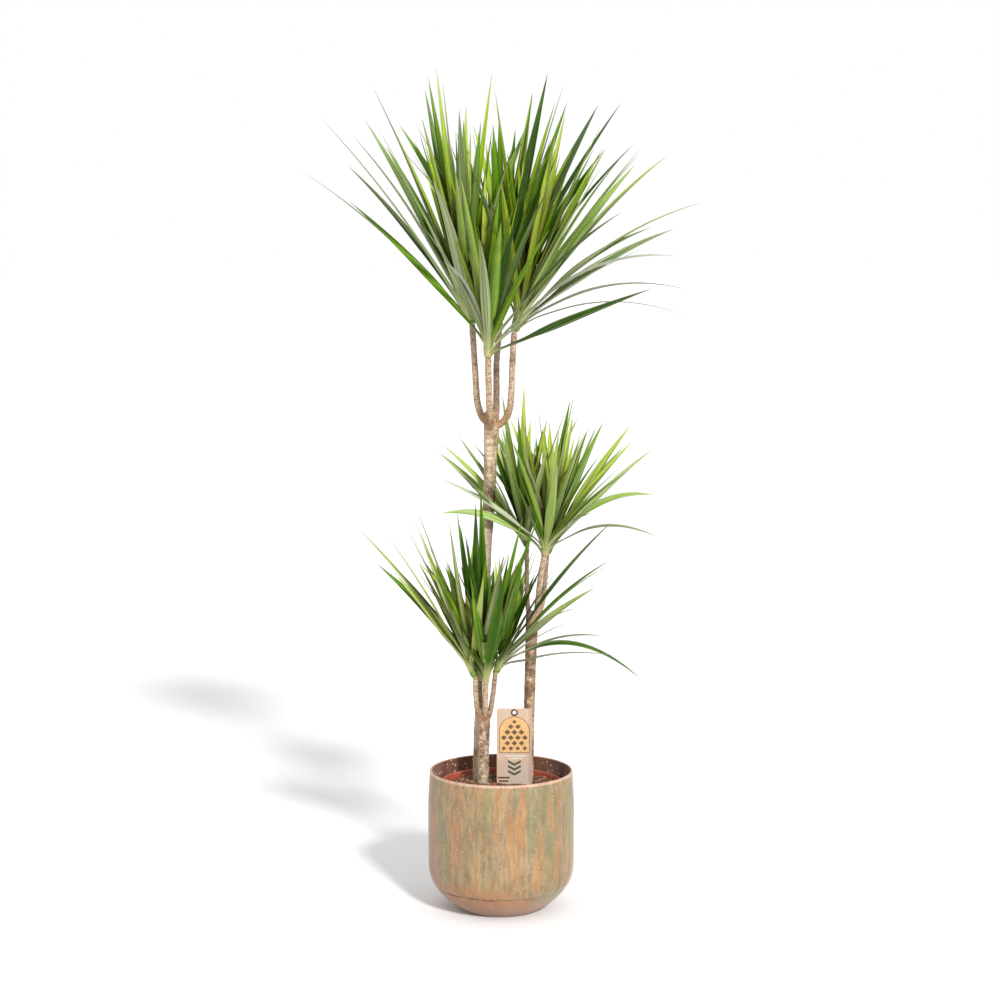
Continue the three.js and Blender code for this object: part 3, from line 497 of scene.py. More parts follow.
def leaf_material(name, dark, mid, bright, under):
    """A leaf blade: streaks along it, thin reddish margins, a pale root and a duller underside."""
    g = Graph(name, 0.5)
    g.set("Specular IOR Level", 0.16)
    across, along, tone, worn = (g.value(key) for key in ("across", "along", "tone", "pale"))
    edge = g.math("ABSOLUTE", across)
    shift = g.times(tone, 37.0)
    veins = g.noise(1, 3, 0.65, at=g.combine(g.times(across, 9.0), g.times(along, 1.6), shift))
    light = g.noise(1, 2, 0.6, at=g.combine(g.times(across, 4.2), g.times(along, 0.8), shift))
    shade = g.noise(1, 2, 0.6, at=g.combine(shift, g.times(across, 3.1), g.times(along, 0.9)))
    g.colour = g.ramp(g.plus(g.times(g.noise(30, 3, 0.6), 0.4), tone, -0.2),
                      [(0.0, dark), (0.5, mid), (0.85, bright), (1.0, (206, 226, 74))])
    g.cover(under, g.value("under"), worn, 0.8)
    g.cover(dark, (shade, 0.5, 0.38, 0, 0.78), g.plus(g.times(worn, -0.6), 1.0))
    g.wash(veins, 0.5, 0.72, 0.35, dark)
    # Whitish streaks along the blade, partly the leaf's pale stripes and partly painted highlights.
    lit = g.plus(g.times(worn, 0.09), light)
    g.cover((232, 238, 190), (lit, 0.51, 0.63), g.plus(g.times(worn, 0.85), 0.05))
    faded = g.blend(worn, 0.95, 1.0, (152, 150, 134), (208, 212, 192))
    g.wash(worn, 0.88, 0.94, 0.62, faded)
    g.cover((190, 204, 110), (edge, 0.14, 0.0, 0, 0.4), (tone, 0.2, 0.6))
    g.wash(along, 0.15, 0.02, 0.8, (212, 214, 136))
    g.cover((134, 98, 66), (edge, 0.84, 0.98, 0, 0.75), (along, 0.02, 0.2))
    g.wash(along, 0.95, 1.0, 0.7, (120, 104, 92))
    # Painted shade deep inside the head, on the inner leaves towards their roots.
    g.cover((24, 44, 0), g.value("deep"), 0.9)
    return g.finish((veins, 0.3, 0.7, 0.4, 0.56), veins, 0.35, 0.0008)


def sheath_material():
    """The leafy stem's overlapping leaf bases, cream at the foot and fresh green above."""
    g = Graph("leaf_sheath", 0.5)
    fibre = g.noise(500, 3, 0.6, (1, 1, 0.12))
    g.colour = g.blend(fibre, 0.35, 0.7, (92, 132, 26), (142, 174, 62))
    g.wash(g.noise(160, 2, stretch=(0.2, 0.2, 1)), 0.5, 0.65, 0.35, (196, 206, 126))
    cream = g.blend(fibre, 0.4, 0.65, (226, 212, 150), (190, 176, 110))
    g.colour = g.mix(g.value("young"), cream, g.colour)
    return g.finish(None, fibre, 0.3, 0.0006)


def label_material():
    """Smooth card, paler at the middle, with painted shade on a folded strip at its right edge."""
    g = Graph("label_card", 0.42)
    cloud = g.noise(30, 2)
    across = g.axis("X")
    g.colour = g.blend(cloud, 0.3, 0.7, (224, 188, 158), (232, 206, 180))
    g.cover((218, 212, 204), (g.axis("Z"), 0.262, 0.245), (across, -0.004, 0.01), 0.4)
    # Painted shade on the folded strip at the right edge.
    g.wash(across, 0.0462, 0.0474, 0.55, (190, 158, 140))
    return g.finish(None, cloud, 0.05, 0.0004)


def print_material(name, colour):
    """Ink with slightly lighter flecks."""
    g = Graph(name, 0.5)
    fleck = g.noise(320, 2, 0.6)
    g.colour = g.blend(fleck, 0.4, 0.65, colour, (*colour, 1.25 * LIGHT_GAIN))
    return g.finish(None, fleck, 0.05, 0.0002)


def brass_material():
    g = Graph("eyelet_metal", 0.38, 0.7)
    wear = g.noise(400, 2)
    g.colour = g.blend(wear, 0.35, 0.65, (96, 66, 44), (148, 108, 76))
    return g.finish(None, wear, 0.1, 0.0002)


def floor_material():
    g = Graph("studio_floor", 0.9)
    g.set("Specular IOR Level", 0.1)
    g.colour = FLOOR_COLOUR
    return g.finish()


# ---- Meshes ----


def clamp(value, high=1):
    return min(high, max(0, value))


def placed(name, data):
    """A new object in the scene."""
    made = bpy.data.objects.new(name, data)
    bpy.context.scene.collection.objects.link(made)
    return made


def new_mesh(name, points, faces):
    """A mesh from points in millimetres."""
    mesh = bpy.data.meshes.new(name)
    mesh.from_pydata([[c * MM for c in point] for point in points], [], faces)
    return mesh


def dressed(name, mesh, node):
    """An object of this mesh that rides on the part and stands for one of its solids."""
    made = placed(name, mesh)
    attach(made, "root")
    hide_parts(node)
    return made


def keep_values(mesh, values):
    """Keeps numbers on a mesh under their names, one for each point or each face."""
    for key, numbers in values.items():
        domain = "POINT" if len(numbers) == len(mesh.vertices) else "FACE"
        layer = mesh.attributes.new(key, "FLOAT", domain)
        layer.data.foreach_set("value", np.asarray(numbers, float))


def shade_smooth(mesh):
    mesh.polygons.foreach_set("use_smooth", [True] * len(mesh.polygons))


def piece(name, points, faces, material, slot, node, sharp=None, **values):
    """A smooth piece, but for edges where faces turn by more than sharp, in degrees."""
    mesh = new_mesh(name, points, faces)
    shade_smooth(mesh)
    if sharp is not None:
        mesh.set_sharp_from_angle(angle=radians(sharp))
    keep_values(mesh, values)
    mesh.materials.append(material)
    return dressed(name, mesh, node)


def apply_modifiers(made):
    """Keeps the mesh as its modifiers leave it."""
    bpy.context.view_layer.update()
    evaluated = made.evaluated_get(bpy.context.evaluated_depsgraph_get())
    mesh = bpy.data.meshes.new_from_object(evaluated)
    made.modifiers.clear()
    made.data = mesh


def joined(parts):
    """Several (points, faces) as one."""
    points, faces = [], []
    for more, corners in parts:
        start = len(points)
        points += more
        faces += [tuple(start + i for i in face) for face in corners]
    return points, faces


def ring_faces(rings, sides, closed_ends=False, wrap_rows=False):
    """Quads between rings of points, all anticlockwise about the way from first to last."""
    faces = []
    for row in range(rings if wrap_rows else rings - 1):
        low, high = row * sides, (row + 1) % rings * sides
        for side in range(sides):
            after = (side + 1) % sides
            faces.append((low + side, low + after, high + after, high + side))
    if closed_ends:
        faces.append(tuple(reversed(range(sides))))
        faces.append(tuple(range((rings - 1) * sides, rings * sides)))
    return faces


def around(radius, angle, height=0):
    return radius * cos(angle), radius * sin(angle), height


def turned(profile, sides, ripple=None):
    """A ring of points about Z for each (radius, height), with an optional small ripple."""
    points = []
    for radius, height in profile:
        for side in range(sides):
            angle = 2 * pi * side / sides
            points.append(around(radius + (ripple(angle, height) if ripple else 0), angle, height))
    return points


def loop_faces(profile, sides):
    """The faces of a closed loop that is turned about Z."""
    return [tuple(reversed(face)) for face in ring_faces(len(profile), sides, wrap_rows=True)]


def closed_lathe(profile, sides, ripple=None):
    """A profile from the axis to the axis, turned into a closed skin with a point at each end."""
    rim = profile[1:-1]
    points = turned(rim, sides, ripple) + [(0, 0, profile[0][1]), (0, 0, profile[-1][1])]
    faces = ring_faces(len(rim), sides)
    last_row = (len(rim) - 1) * sides
    first = last_row + sides
    for side in range(sides):
        after = (side + 1) % sides
        faces += [(first, after, side), (first + 1, last_row + side, last_row + after)]
    return points, faces


def planter_radius(height):
    p = PLANTER
    foot = max(0, 1 - height / p.foot_rise)
    neck = max(0, (height - p.neck_start) / (p.height - p.neck_start))
    return (p.radius - (p.radius - p.foot_radius) * foot ** p.foot_curve
            - p.neck_in * neck ** p.neck_curve)


def inside_planter(height, depth):
    """The point a given depth inside the skin, square to it."""
    low, high = max(0, height - 0.5), height + 0.5
    slope = (planter_radius(high) - planter_radius(low)) / (high - low)
    length = hypot(1, slope)
    return planter_radius(height) - depth / length, height + depth * slope / length


def spaced(low, high, count):
    return [low + (high - low) * i / count for i in range(count + 1)]


def dented(angle, height):
    """The slight unevenness of hand-finished sheet."""
    return 0.28 * noise.noise(Vector(around(2.2, angle, height / 60))) - 0.15


def make_planter(patina, copper):
    p = PLANTER
    top, seam, wall, inset = p.height, p.seam, p.wall, p.dish_inset
    lapped = seam + p.lap
    hem_foot = top - HEM
    outside = [(planter_radius(z), z) for z in spaced(seam + 0.6, hem_foot, 44)]
    outside.insert(0, (planter_radius(seam) - 0.4, seam))
    rim = planter_radius(top)
    hem = [(planter_radius(hem_foot) + HEM_PROUD, hem_foot + 0.25),
           (rim + HEM_PROUD + 0.2, top - 1.4), (rim + HEM_PROUD - 0.2, top - 0.4), (rim - 0.6, top),
           (rim - 1.6, top), (rim - wall - 0.2, top - 0.5), (rim - wall - 0.4, top - 1.5)]
    down = [*spaced(hem_foot, lapped, 26), seam + p.lap * 0.5, seam]
    inside = [(planter_radius(z) - wall, z) for z in down]
    profile = outside + hem + inside
    counts = np.array([len(outside), len(hem) - 1, len(inside) + 1]) * PLANTER_SIDES
    piece("planter_body_skin", turned(profile, PLANTER_SIDES, dented),
          loop_faces(profile, PLANTER_SIDES), patina, "patina", "planter_body", 50,
          hem=np.repeat([0, 1, 0], counts), inside=np.repeat([0, 0, 1], counts))

    # The lapped vertical joint of the sheet, a low rib on the inside wall.
    half, proud = JOINT.half_width, JOINT.proud
    section = ((-half, -0.4), (-half * 0.7, proud), (half * 0.7, proud), (half, -0.4))
    heights = spaced(lapped + 2, hem_foot, 30)
    rib = []
    for z in heights:
        r = planter_radius(z) - wall
        for across, deep in section:
            angle = radians(JOINT.towards) + across / r
            rib.append(around(r - deep + dented(angle, z), angle, z))
    piece("planter_sheet_joint", rib, ring_faces(len(heights), len(section), closed_ends=True),
          patina, "patina", "planter_body", 40, hem=[0] * len(rib), inside=[1] * len(rib))

    # The dish, with a shallow uneven groove where the body is lapped over it.
    def groove(angle, height):
        near_seam = exp(-((height - seam + 0.6) / 0.9) ** 2)
        open_side = 0.5 + 0.5 * cos(angle - radians(GROOVE.towards))
        uneven = 0.5 + noise.noise(Vector(around(4, angle, 3)))
        deep = GROOVE.least + GROOVE.open * open_side * uneven
        return 0.25 * dented(angle, height) - near_seam * deep

    foot = inside_planter(0, inset)[0]
    profile = [(0, 0), (foot * 0.5, 0), (foot - 1.2, 0), (foot - 0.1, 0.35)]
    profile += [inside_planter(z, inset) for z in spaced(0.9, seam - GAP, 34)]
    profile += [(planter_radius(z) - wall - GAP, z) for z in spaced(seam - GAP, lapped, 4)]
    profile.append((planter_radius(lapped) - 2 * wall - GAP, lapped))
    lining = [inside_planter(z, 2 * wall + GAP) for z in spaced(seam + 8, 1, 30)]
    lining = [(r, z) for r, z in lining if z < lapped - 0.5]
    profile += lining + [(lining[-1][0] - 2, wall), (0, wall)]
    piece("planter_base_dish", *closed_lathe(profile, PLANTER_SIDES, groove), copper, "copper",
          "planter_base", 40)


def nursery_radius(height):
    part = (height - NURSERY_FLOOR) / (NURSERY.height - NURSERY.rim_band)
    return NURSERY.foot_radius + (NURSERY.band_radius - NURSERY.foot_radius) * part


def make_nursery_pot(plastic):
    n = NURSERY
    foot, wall, rim, neck = n.foot_radius, n.wall, n.rim_radius, n.band_radius
    low, top = NURSERY_FLOOR, NURSERY_TOP
    band = top - n.rim_band
    profile = [
        (0, low), (foot - 3, low), (foot - 0.9, low + 0.9), (foot, low + 3), (neck, band - 1),
        (rim - 0.5, band - 0.5), (rim, band + 0.3), (rim, top - 0.7), (rim - 0.25, top - 0.15),
        (rim - 0.6, top), (rim - 0.9, top), (rim - 1.25, top - 0.15), (rim - wall, top - 0.7),
        (rim - wall, band + wall), (neck - wall, band), (foot - wall, low + wall), (0, low + wall),
    ]
    pot = piece("nursery_pot_skin", *closed_lathe(profile, NURSERY_SIDES), plastic,
                "terracotta_plastic", "nursery_pot", 40)
    drills = []
    for hole in range(n.drain_holes):
        x, y, z = around(n.drain_circle, 2 * pi * hole / n.drain_holes, low)
        ends = [(n.drain_radius, z - 4), (n.drain_radius, z + 4)]
        rings = [(x + a, y + b, c) for a, b, c in turned(ends, 32)]
        drills.append((rings, ring_faces(2, 32, closed_ends=True)))
    cutter = placed("drills", new_mesh("drills", *joined(drills)))
    cut = pot.modifiers.new("drain_holes", "BOOLEAN")
    cut.operation = "DIFFERENCE"
    cut.solver = "EXACT"
    cut.object = cutter
    apply_modifiers(pot)
    bpy.data.objects.remove(cutter)


# ---- Soil ----


def soil_height(x, y):
    out = hypot(x, y) / NURSERY.band_radius
    return (SOIL.edge_height + SOIL.mound * (1 - out * out)
            + 1.5 * sin(x / 9 + 1) * cos(y / 8) + 1.1 * sin((x + 1.7 * y) / 5))


def make_draw(seed):
    """A seeded run of numbers between 0 and 1."""
    state = [seed]

    def draw():
        state[0] = (state[0] * 16807) % 2147483647
        return state[0] / 2147483647

    draw()
    draw()
    return draw


def make_soil(mix, lumps):
    floor = NURSERY_FLOOR + NURSERY.wall + GAP
    low_edge = SOIL.edge_height - 4
    edge, foot = (nursery_radius(z) - NURSERY.wall - SOIL.clearance for z in (low_edge, floor))
    sides, rows = 160, 64
    points = turned([(foot, floor), (edge, low_edge)], sides)
    for row in range(1, rows):
        for x, y, _ in turned([(edge * (1 - row / rows) ** 0.9, 0)], sides):
            rough = noise.fractal(Vector((x, y, 0)) / 7, 0.8, 2.1, 3)
            points.append((x, y, soil_height(x, y) + 1.3 * rough - 0.4))
    piece("soil_bed", points, ring_faces(rows + 1, sides, closed_ends=True), mix, "soil", "soil", 60)

    draw = make_draw(SOIL.seed)
    centres = []
    while len(centres) < SOIL.lumps + SOIL.crumbs:
        x, y = edge * (2 * draw() - 1), edge * (2 * draw() - 1)
        if hypot(x, y) < edge - 3:
            centres.append((x, y))
    shape = bmesh.new()
    bmesh.ops.create_icosphere(shape, subdivisions=1, radius=1)
    shape.verts.ensure_lookup_table()
    corners = [v.co.copy() for v in shape.verts]
    triangles = [tuple(v.index for v in f.verts) for f in shape.faces]
    shape.free()
    parts, tones = [], []
    for index, (x, y) in enumerate(centres):
        size = 1.3 + 2.3 * draw() ** 2 if index < SOIL.lumps else 0.5 + 0.8 * draw()
        turn = Matrix.Rotation(6.28 * draw(), 3, "Z") @ Matrix.Rotation(0.9 * (draw() - 0.5), 3, "X")
        stretch = Vector((1 + 0.9 * draw(), 0.8 + 0.4 * draw(), 0.45 + 0.5 * draw()))
        centre = Vector((x, y, soil_height(x, y) + 0.15 * size))
        tone = draw()
        if not near_stem(x, y, 2 * size):
            parts.append(([centre + turn @ (corner * stretch * size * (0.75 + 0.5 * draw()))
                           for corner in corners], triangles))
            tones += [tone] * len(corners)
    piece("soil_lumps", *joined(parts), lumps, "soil", "soil", 35, tone=tones)


def near_stem(x, y, margin):
    for plant in PLANTS:
        stem = plant.cane[1]
        if hypot(x - stem[0], y - stem[1]) < stem[3] + margin:
            return True
    return abs(y - LABEL.y) < 1 + margin and abs(x - LABEL.x) < LABEL.width / 2 + margin


# ---- Canes ----


def smooth_line(points, steps_of):
    """Points, radii and directions along the centripetal Catmull-Rom curve through points.
    steps_of gives the number of steps for the line's length."""
    places = [Vector(p[:3]) for p in points]
    last = len(points) - 2

    def stretch(t):
        """Which point t, from 0 to 1, lies after, and the share of the way to the next."""
        along = t * (last + 1)
        low = min(int(along), last)
        return low, along - low

    def at(t):
        low, w = stretch(t)
        p1, p2 = places[low], places[low + 1]
        p0 = places[low - 1] if low > 0 else p1 * 2 - p2
        p3 = places[low + 2] if low < last else p2 * 2 - p1
        d0, d1, d2 = ((b - a).length ** 0.5 for a, b in ((p0, p1), (p1, p2), (p2, p3)))
        t1 = ((p1 - p0) / d0 - (p2 - p0) / (d0 + d1) + (p2 - p1) / d1) * d1
        t2 = ((p2 - p1) / d1 - (p3 - p1) / (d1 + d2) + (p3 - p2) / d2) * d1
        c2 = -3 * p1 + 3 * p2 - 2 * t1 - t2
        c3 = 2 * p1 - 2 * p2 + t1 + t2
        return p1 + t1 * w + c2 * w * w + c3 * w ** 3

    steps = steps_of(sum((b - a).length for a, b in zip(places, places[1:])))
    line = []
    for i in range(steps + 1):
        t = i / steps
        low, w = stretch(t)
        radius = points[low][3] + (points[low + 1][3] - points[low][3]) * w
        tangent = (at(min(1, t + 1e-4)) - at(max(0, t - 1e-4))).normalized()
        line.append((at(t), radius, tangent))
    return line


def limb(points, sides, step, swell=None):
    """Rings of points and faces of a closed round limb."""
    line = smooth_line(points, lambda length: max(len(points), round(length / step)))
    side = Vector((1, 0, 0))
    rings = []
    for centre, radius, tangent in line:
        side = (side - tangent * side.dot(tangent)).normalized()
        other = tangent.cross(side)
        r = radius + (swell(centre) if swell else 0)
        for a, b, _ in turned([(r, 0)], sides):
            rings.append(centre + side * a + other * b)
    return rings, ring_faces(len(line), sides, closed_ends=True)


def rows_of(mesh, name):
    """The places or normals of a mesh's points, three numbers a row."""
    numbers = np.empty(len(mesh.vertices) * 3)
    mesh.vertices.foreach_get(name, numbers)
    return numbers.reshape(-1, 3)


def make_cane(plant, material, slot):
    """A trunk and its branches grown together, with growth rings, scars and small knobs."""

    def ring_swell(centre):
        return sum(0.9 * exp(-((centre.z - ring) / 2.2) ** 2) for ring in plant.rings)

    parts = [limb(plant.cane, CANE_SIDES, CANE_STEP, ring_swell)]
    parts += [limb(points, BRANCH_SIDES, CANE_STEP) for points in plant.branches]
    name = f"cane_{plant.name}"
    made = piece(f"{name}_bark", *joined(parts), material, slot, name)
    remesh = made.modifiers.new("grown_together", "REMESH")
    remesh.mode = "VOXEL"
    remesh.voxel_size = 1.15 * MM
    soften = made.modifiers.new("softened", "SMOOTH")
    soften.factor = 0.5
    soften.iterations = 3
    apply_modifiers(made)
    mesh = made.data
    places, normals = rows_of(mesh, "co"), rows_of(mesh, "normal")
    ends = [Vector(branch[-1][:3]) for branch in plant.branches]
    lines = [smooth_line(branch, lambda length: 12) for branch in plant.branches]
    fork = plant.cane[-1][2]
    lift, young, dim, knob = [], [], [], []
    for (x, y, z), (facing, _, _) in zip(places / MM, normals):
        coarse = noise.noise(Vector((x / 9, y / 9, z / 16)))
        rough = noise.fractal(Vector((x / 3.2, y / 3.2, z / 1.7)), 0.7, 2.2, 3)
        near_end = min(abs(z - end.z) + 0.5 * hypot(x - end.x, y - end.y) for end in ends)
        lift.append(min(1, near_end / 6) * (0.42 * coarse + 0.42 * rough - 0.12))
        new_wood = clamp((z - fork + 14) / 30)
        place = Vector((x, y, z))
        nearest = min(range(len(lines)), key=lambda k: min((place - c).length for c, _, _ in lines[k]))
        # Painted shade on the side facing +X below the fork, where the middle plant's leaves shade the
        # cane.
        shaded = max(0, facing) * clamp((fork - 70 - z) / 60)
        dim.append(plant.dim[nearest] * new_wood + plant.shaded * shaded)
        knob.append(exp(-((z - fork + 14) / 17) ** 2))
        # The side facing -X also takes the young wood's paler colour, as a painted highlight.
        young.append(max(new_wood, plant.pale_side * clamp((-facing - 0.5) / 0.25)))
    places += normals * (np.array(lift) * MM)[:, None]
    mesh.vertices.foreach_set("co", places.ravel())
    keep_values(mesh, dict(young=young, dim=dim, knob=knob))
    shade_smooth(mesh)
    mesh.update()


# ---- Foliage ----


def keep_apart(point, plant, behind):
    """Moves a point of a leaf to its own side of the other plant's leaves."""
    moved = point.copy()
    normal, margin = CURTAIN.normal, CURTAIN.margin
    past = (moved - CURTAIN.point).dot(normal)
    if plant is MIDDLE:
        moved += normal * max(0, margin - past)
        moved.z = max(moved.z, SHELF.height + SHELF.margin)
    if plant is SHORT and past > -margin:
        if behind:
            moved.z = min(moved.z, SHELF.height - SHELF.margin)
        else:
            moved -= normal * (past + margin)
    return moved


def part_around(heading, sectors):
    """Turns a leaf's heading out of the sectors where a cane stands close to the head."""
    for towards, half in sectors:
        middle, limit = radians(towards), radians(half)
        off = (heading - middle + pi) % (2 * pi) - pi
        if abs(off) < limit:
            heading = middle + (-limit if off < 0 else limit)
    return heading


def filled_reach(head, index, draw):
    """The reach of a leaf that is placed by rule, on a spiral up the head."""
    age = (index + 0.5) / head.fill
    turn = index * GOLDEN_ANGLE + head.seed + 0.5 * (draw() - 0.5)
    low = head.low_rise
    rise = low + (HEAD.top_rise - low) * age ** 0.75 + 10 * (draw() - 0.5)
    steep = head.steep_back if sin(turn) > 0 else 0
    angle = radians(min(86, max(rise, steep)))
    length = head.length * (0.8 + 0.2 * draw()) * (1 - 0.3 * max(0, age - 0.7))
    spread = cos(angle) * (1 - 0.25 * abs(cos(turn)))
    reach = Vector(around(spread, turn, sin(angle)))
    reach += HEAD.follow * Vector((*head.lean[:2], 0))
    heading = part_around(atan2(reach.y, reach.x), head.parted)
    return Vector(around(hypot(reach.x, reach.y), heading, reach.z)).normalized() * length


def core_radius(head, height):
    return head.core * (1 - HEAD.taper * height / head.stem)


def leaf_to(plant, head, reach, height, draw, arch=None):
    """The middle line, width and turn of a leaf that reaches a given way from its head's base."""
    heading = atan2(reach.y, reach.x)
    root = head.base + head.up * height
    root += Vector(around(1, heading)) * HEAD.sunk * core_radius(head, height)
    behind = reach.y > 0
    steep = reach.z / reach.length
    end = keep_apart(head.base + reach, plant, behind)
    lift = BLADE.arch * (0.6 + 0.8 * draw()) if arch is None else arch
    control = root.lerp(end, BLADE.belly) + UP * (lift * hypot(reach.x, reach.y))
    wide = BLADE.half_width * (0.86 + 0.28 * draw()) * plant.wide * min(1, 0.62 + steep)
    roll = BLADE.roll * cos(heading) * (0.3 + 0.7 * draw()) * min(1, 0.15 + 1.3 * steep)
    return Size(heading=heading, root=root, control=keep_apart(control, plant, behind), end=end,
                half_width=wide, roll=roll + 0.5 * (draw() - 0.5), steep=steep, dull=False,
                fresh=False, clasp=plant.clasp, up=head.up, age=HEAD.extra_age)


def head_leaves(plant, head):
    """The leaves that stand out and those that fill in, climbing the stem as they get steeper,
    then the short extra ones and the inner ones."""
    draw = make_draw(head.seed)
    climbing = [(Vector(r[:3]), r[3] if len(r) > 3 else None) for r in head.reaches]
    climbing += [(filled_reach(head, index, draw), None) for index in range(head.fill)]
    climbing.sort(key=lambda leaf: leaf[0].z / leaf[0].length)
    step = (head.stem - HEAD.first_leaf - 1) / len(climbing)
    leaves = []
    for rank, (reach, arch) in enumerate(climbing):
        leaf = leaf_to(plant, head, reach, HEAD.first_leaf + step * rank, draw, arch)
        leaf.age = rank / len(climbing)
        leaf.dull, leaf.fresh = (tuple(reach) in shown for shown in (head.dull, head.fresh))
        if leaf.dull:
            leaf.half_width *= DULL_WIDTH
        if leaf.fresh:
            leaf.half_width *= FRESH.wider
            leaf.roll = copysign(FRESH.roll, cos(leaf.heading))
        leaves.append(leaf)
    low = head.stem * 0.3
    leaves += [leaf_to(plant, head, Vector(reach), low, draw) for reach in head.extra]
    return leaves + inner_leaves(plant, head)


def inner_leaves(plant, head):
    """Finer and shorter leaves among the others, the steepest of them the youngest."""
    draw = make_draw(head.seed + 400)
    leaves = []
    finer = Size(**vars(head))
    finer.fill = head.inner
    finer.low_rise += 12
    finer.length *= 0.86
    finer.seed += 1.3
    finer.parted = head.inner_parted or head.parted
    for index in range(head.inner):
        age = (index + 0.5) / head.inner
        reach = filled_reach(finer, index, draw)
        leaf = leaf_to(plant, head, reach, head.stem * (0.3 + 0.66 * age), draw)
        leaf.half_width *= 0.92 - 0.14 * age
        leaf.age = 0.5 + 0.5 * age
        leaves.append(leaf)
    return leaves


# Places across a blade, on its upper face and then back along its underside.
TOP_SIDE = (1.0, 0.55, 0.0, -0.55, -1.0)
UNDER_SIDE = (-0.55, 0.0, 0.55)
ROUND = len(TOP_SIDE) + len(UNDER_SIDE)
# 1 for the faces of the underside, in the order of one ring's faces.
UNDER = [0] * (len(TOP_SIDE) - 1) + [1] * (len(UNDER_SIDE) + 1)
BLADE_TIP = BLADE_STEPS * ROUND
BLADE_FACES = ring_faces(BLADE_STEPS, ROUND) + [tuple(reversed(range(ROUND)))]
BLADE_FACES += [(BLADE_TIP - ROUND + k, BLADE_TIP - ROUND + (k + 1) % ROUND, BLADE_TIP)
                for k in range(ROUND)]


def eased(t):
    return t * t * (3 - 2 * t)


def blade(leaf, curl, deep, values):
    """The points of one closed blade: a shallow channel, folded more at its root, with a fine
    point. Adds what the leaf material needs to know about each of them to values."""
    across = Vector(around(1, leaf.heading + pi / 2))
    root, control, end = leaf.root, leaf.control, leaf.end
    points = []
    for step in range(BLADE_STEPS):
        t = step / BLADE_STEPS
        centre = root * (1 - t) ** 2 + control * (2 * t * (1 - t)) + end * t ** 2
        tangent = ((control - root) * (1 - t) + (end - control) * t).normalized()
        level = (across - tangent * across.dot(tangent)).normalized()
        above = tangent.cross(level)
        roll = leaf.roll * eased(min(1, t / 0.5))
        side = level * cos(roll) + above * sin(roll)
        face = above * cos(roll) - level * sin(roll)
        centre = centre + side * (curl * sin(pi * t) * 3)
        clasp = leaf.clasp * max(0, 1 - t / BLADE.clasped) ** 2
        centre = centre.lerp(root + leaf.up * (centre - root).length, clasp)
        open_out = 0.5 + 0.5 * eased(min(1, t / BLADE.opened))
        half = leaf.half_width * open_out * (1 - t ** BLADE.taper)
        fold = 0.75 * (BLADE.root_fold * (1 - t) ** 3 + BLADE.fold) * half
        thick = BLADE.root_thickness * (1 - t) + BLADE.tip_thickness
        for places, below in ((TOP_SIDE, 0), (UNDER_SIDE, thick)):
            for a in places:
                down = fold * (1 - abs(a) ** 1.15) + below
                points.append(centre + side * (half * a) - face * down)
        values["along"] += [t] * ROUND
        values["deep"] += [deep * max(0, 1 - t / 0.85)] * ROUND
    values["across"] += (TOP_SIDE + UNDER_SIDE) * BLADE_STEPS + (0,)
    values["along"].append(1)
    values["deep"].append(0)
    values["under"] += UNDER * (BLADE_STEPS - 1) + [1] + UNDER
    return points + [end]


def make_foliage(plant, material, sheath, slot):
    name = plant.name
    stems, young = [], []
    for head in plant.heads:
        blades = []
        values = {key: [] for key in ("across", "along", "tone", "pale", "deep", "under")}
        draw = make_draw(head.seed + 900)
        worn = plant.worn if head.worn is None else head.worn
        for leaf in head_leaves(plant, head):
            age = leaf.age
            tone = clamp(0.1 + head.glow + 0.55 * age + 0.9 * (draw() - 0.5))
            pale = clamp(worn - 0.9 * age + 0.8 * (draw() - 0.5), 0.88)
            if leaf.steep < FADED.below:
                pale = FRESH.pale if leaf.fresh else FADED.pale
            if leaf.dull:
                pale = 1
            # Painted shade for the inner leaves, less where the head's glow lifts them.
            deep = clamp(1.5 * age - 0.3) * (1 - head.glow)
            blades.append((blade(leaf, draw() - 0.5, deep, values), BLADE_FACES))
            values["tone"] += [tone] * (BLADE_TIP + 1)
            values["pale"] += [pale] * (BLADE_TIP + 1)
        piece(f"leaves_{name}_{head.name}", *joined(blades), material, slot, f"foliage_{name}",
              55, **values)
        stems.append(head_stem(head))
        young += [clamp(2 * (p.z - head.base.z) / head.cream - 1) for p in stems[-1][0]]
    piece(f"sheaths_{name}", *joined(stems), sheath, slot, f"foliage_{name}", 60, young=young)


def cut_sheath(material, slot):
    """The flat-topped stump of a trimmed leaf, wrapped round the front of the short plant's head."""
    c = CUT_SHEATH
    head = next(h for h in SHORT.heads if h.name == c.head)
    points = []
    turns = [radians(-90 + turn) for turn in spaced(-c.wrap / 2, c.wrap / 2, c.columns)]
    for t in spaced(0, 1, c.rows):
        centre = head.base + head.up * (c.low + (c.high - c.low) * t)
        radius = c.foot_radius + (c.top_radius - c.foot_radius) * t
        points += [centre + Vector(around(radius, turn)) for turn in turns]
        points += [centre + Vector(around(radius - c.thickness, turn)) for turn in reversed(turns)]
    piece("sheath_short_cut", points, ring_faces(c.rows + 1, 2 * len(turns), closed_ends=True),
          material, slot, "foliage_short", 50, young=[c.green] * len(points))


def head_stem(head):
    """The leafy stem, with a step where each leaf's sheath ends."""
    base, end = head.base, head.branch[-1][3]
    in_line = (base - Vector(head.branch[-2][:3])).normalized()
    line = [(*(base + in_line * 2 * GAP), end), (*(base + in_line * 3), end + 0.6)]
    for height, thicker in ((HEAD.first_leaf - 1, 0.98), (head.stem * 0.3, 1.16),
                            (head.stem * 0.6, 1.1), (head.stem, 0.93)):
        line.append((*(base + head.up * height), core_radius(head, height) * thicker))

    def sheaths(centre):
        height = (centre - base).dot(head.up)
        return 0.5 * (1 - (height / 4.5) % 1) if height > 4 else 0

    return limb(line, 24, 1.2, sheaths)


# ---- Label ----


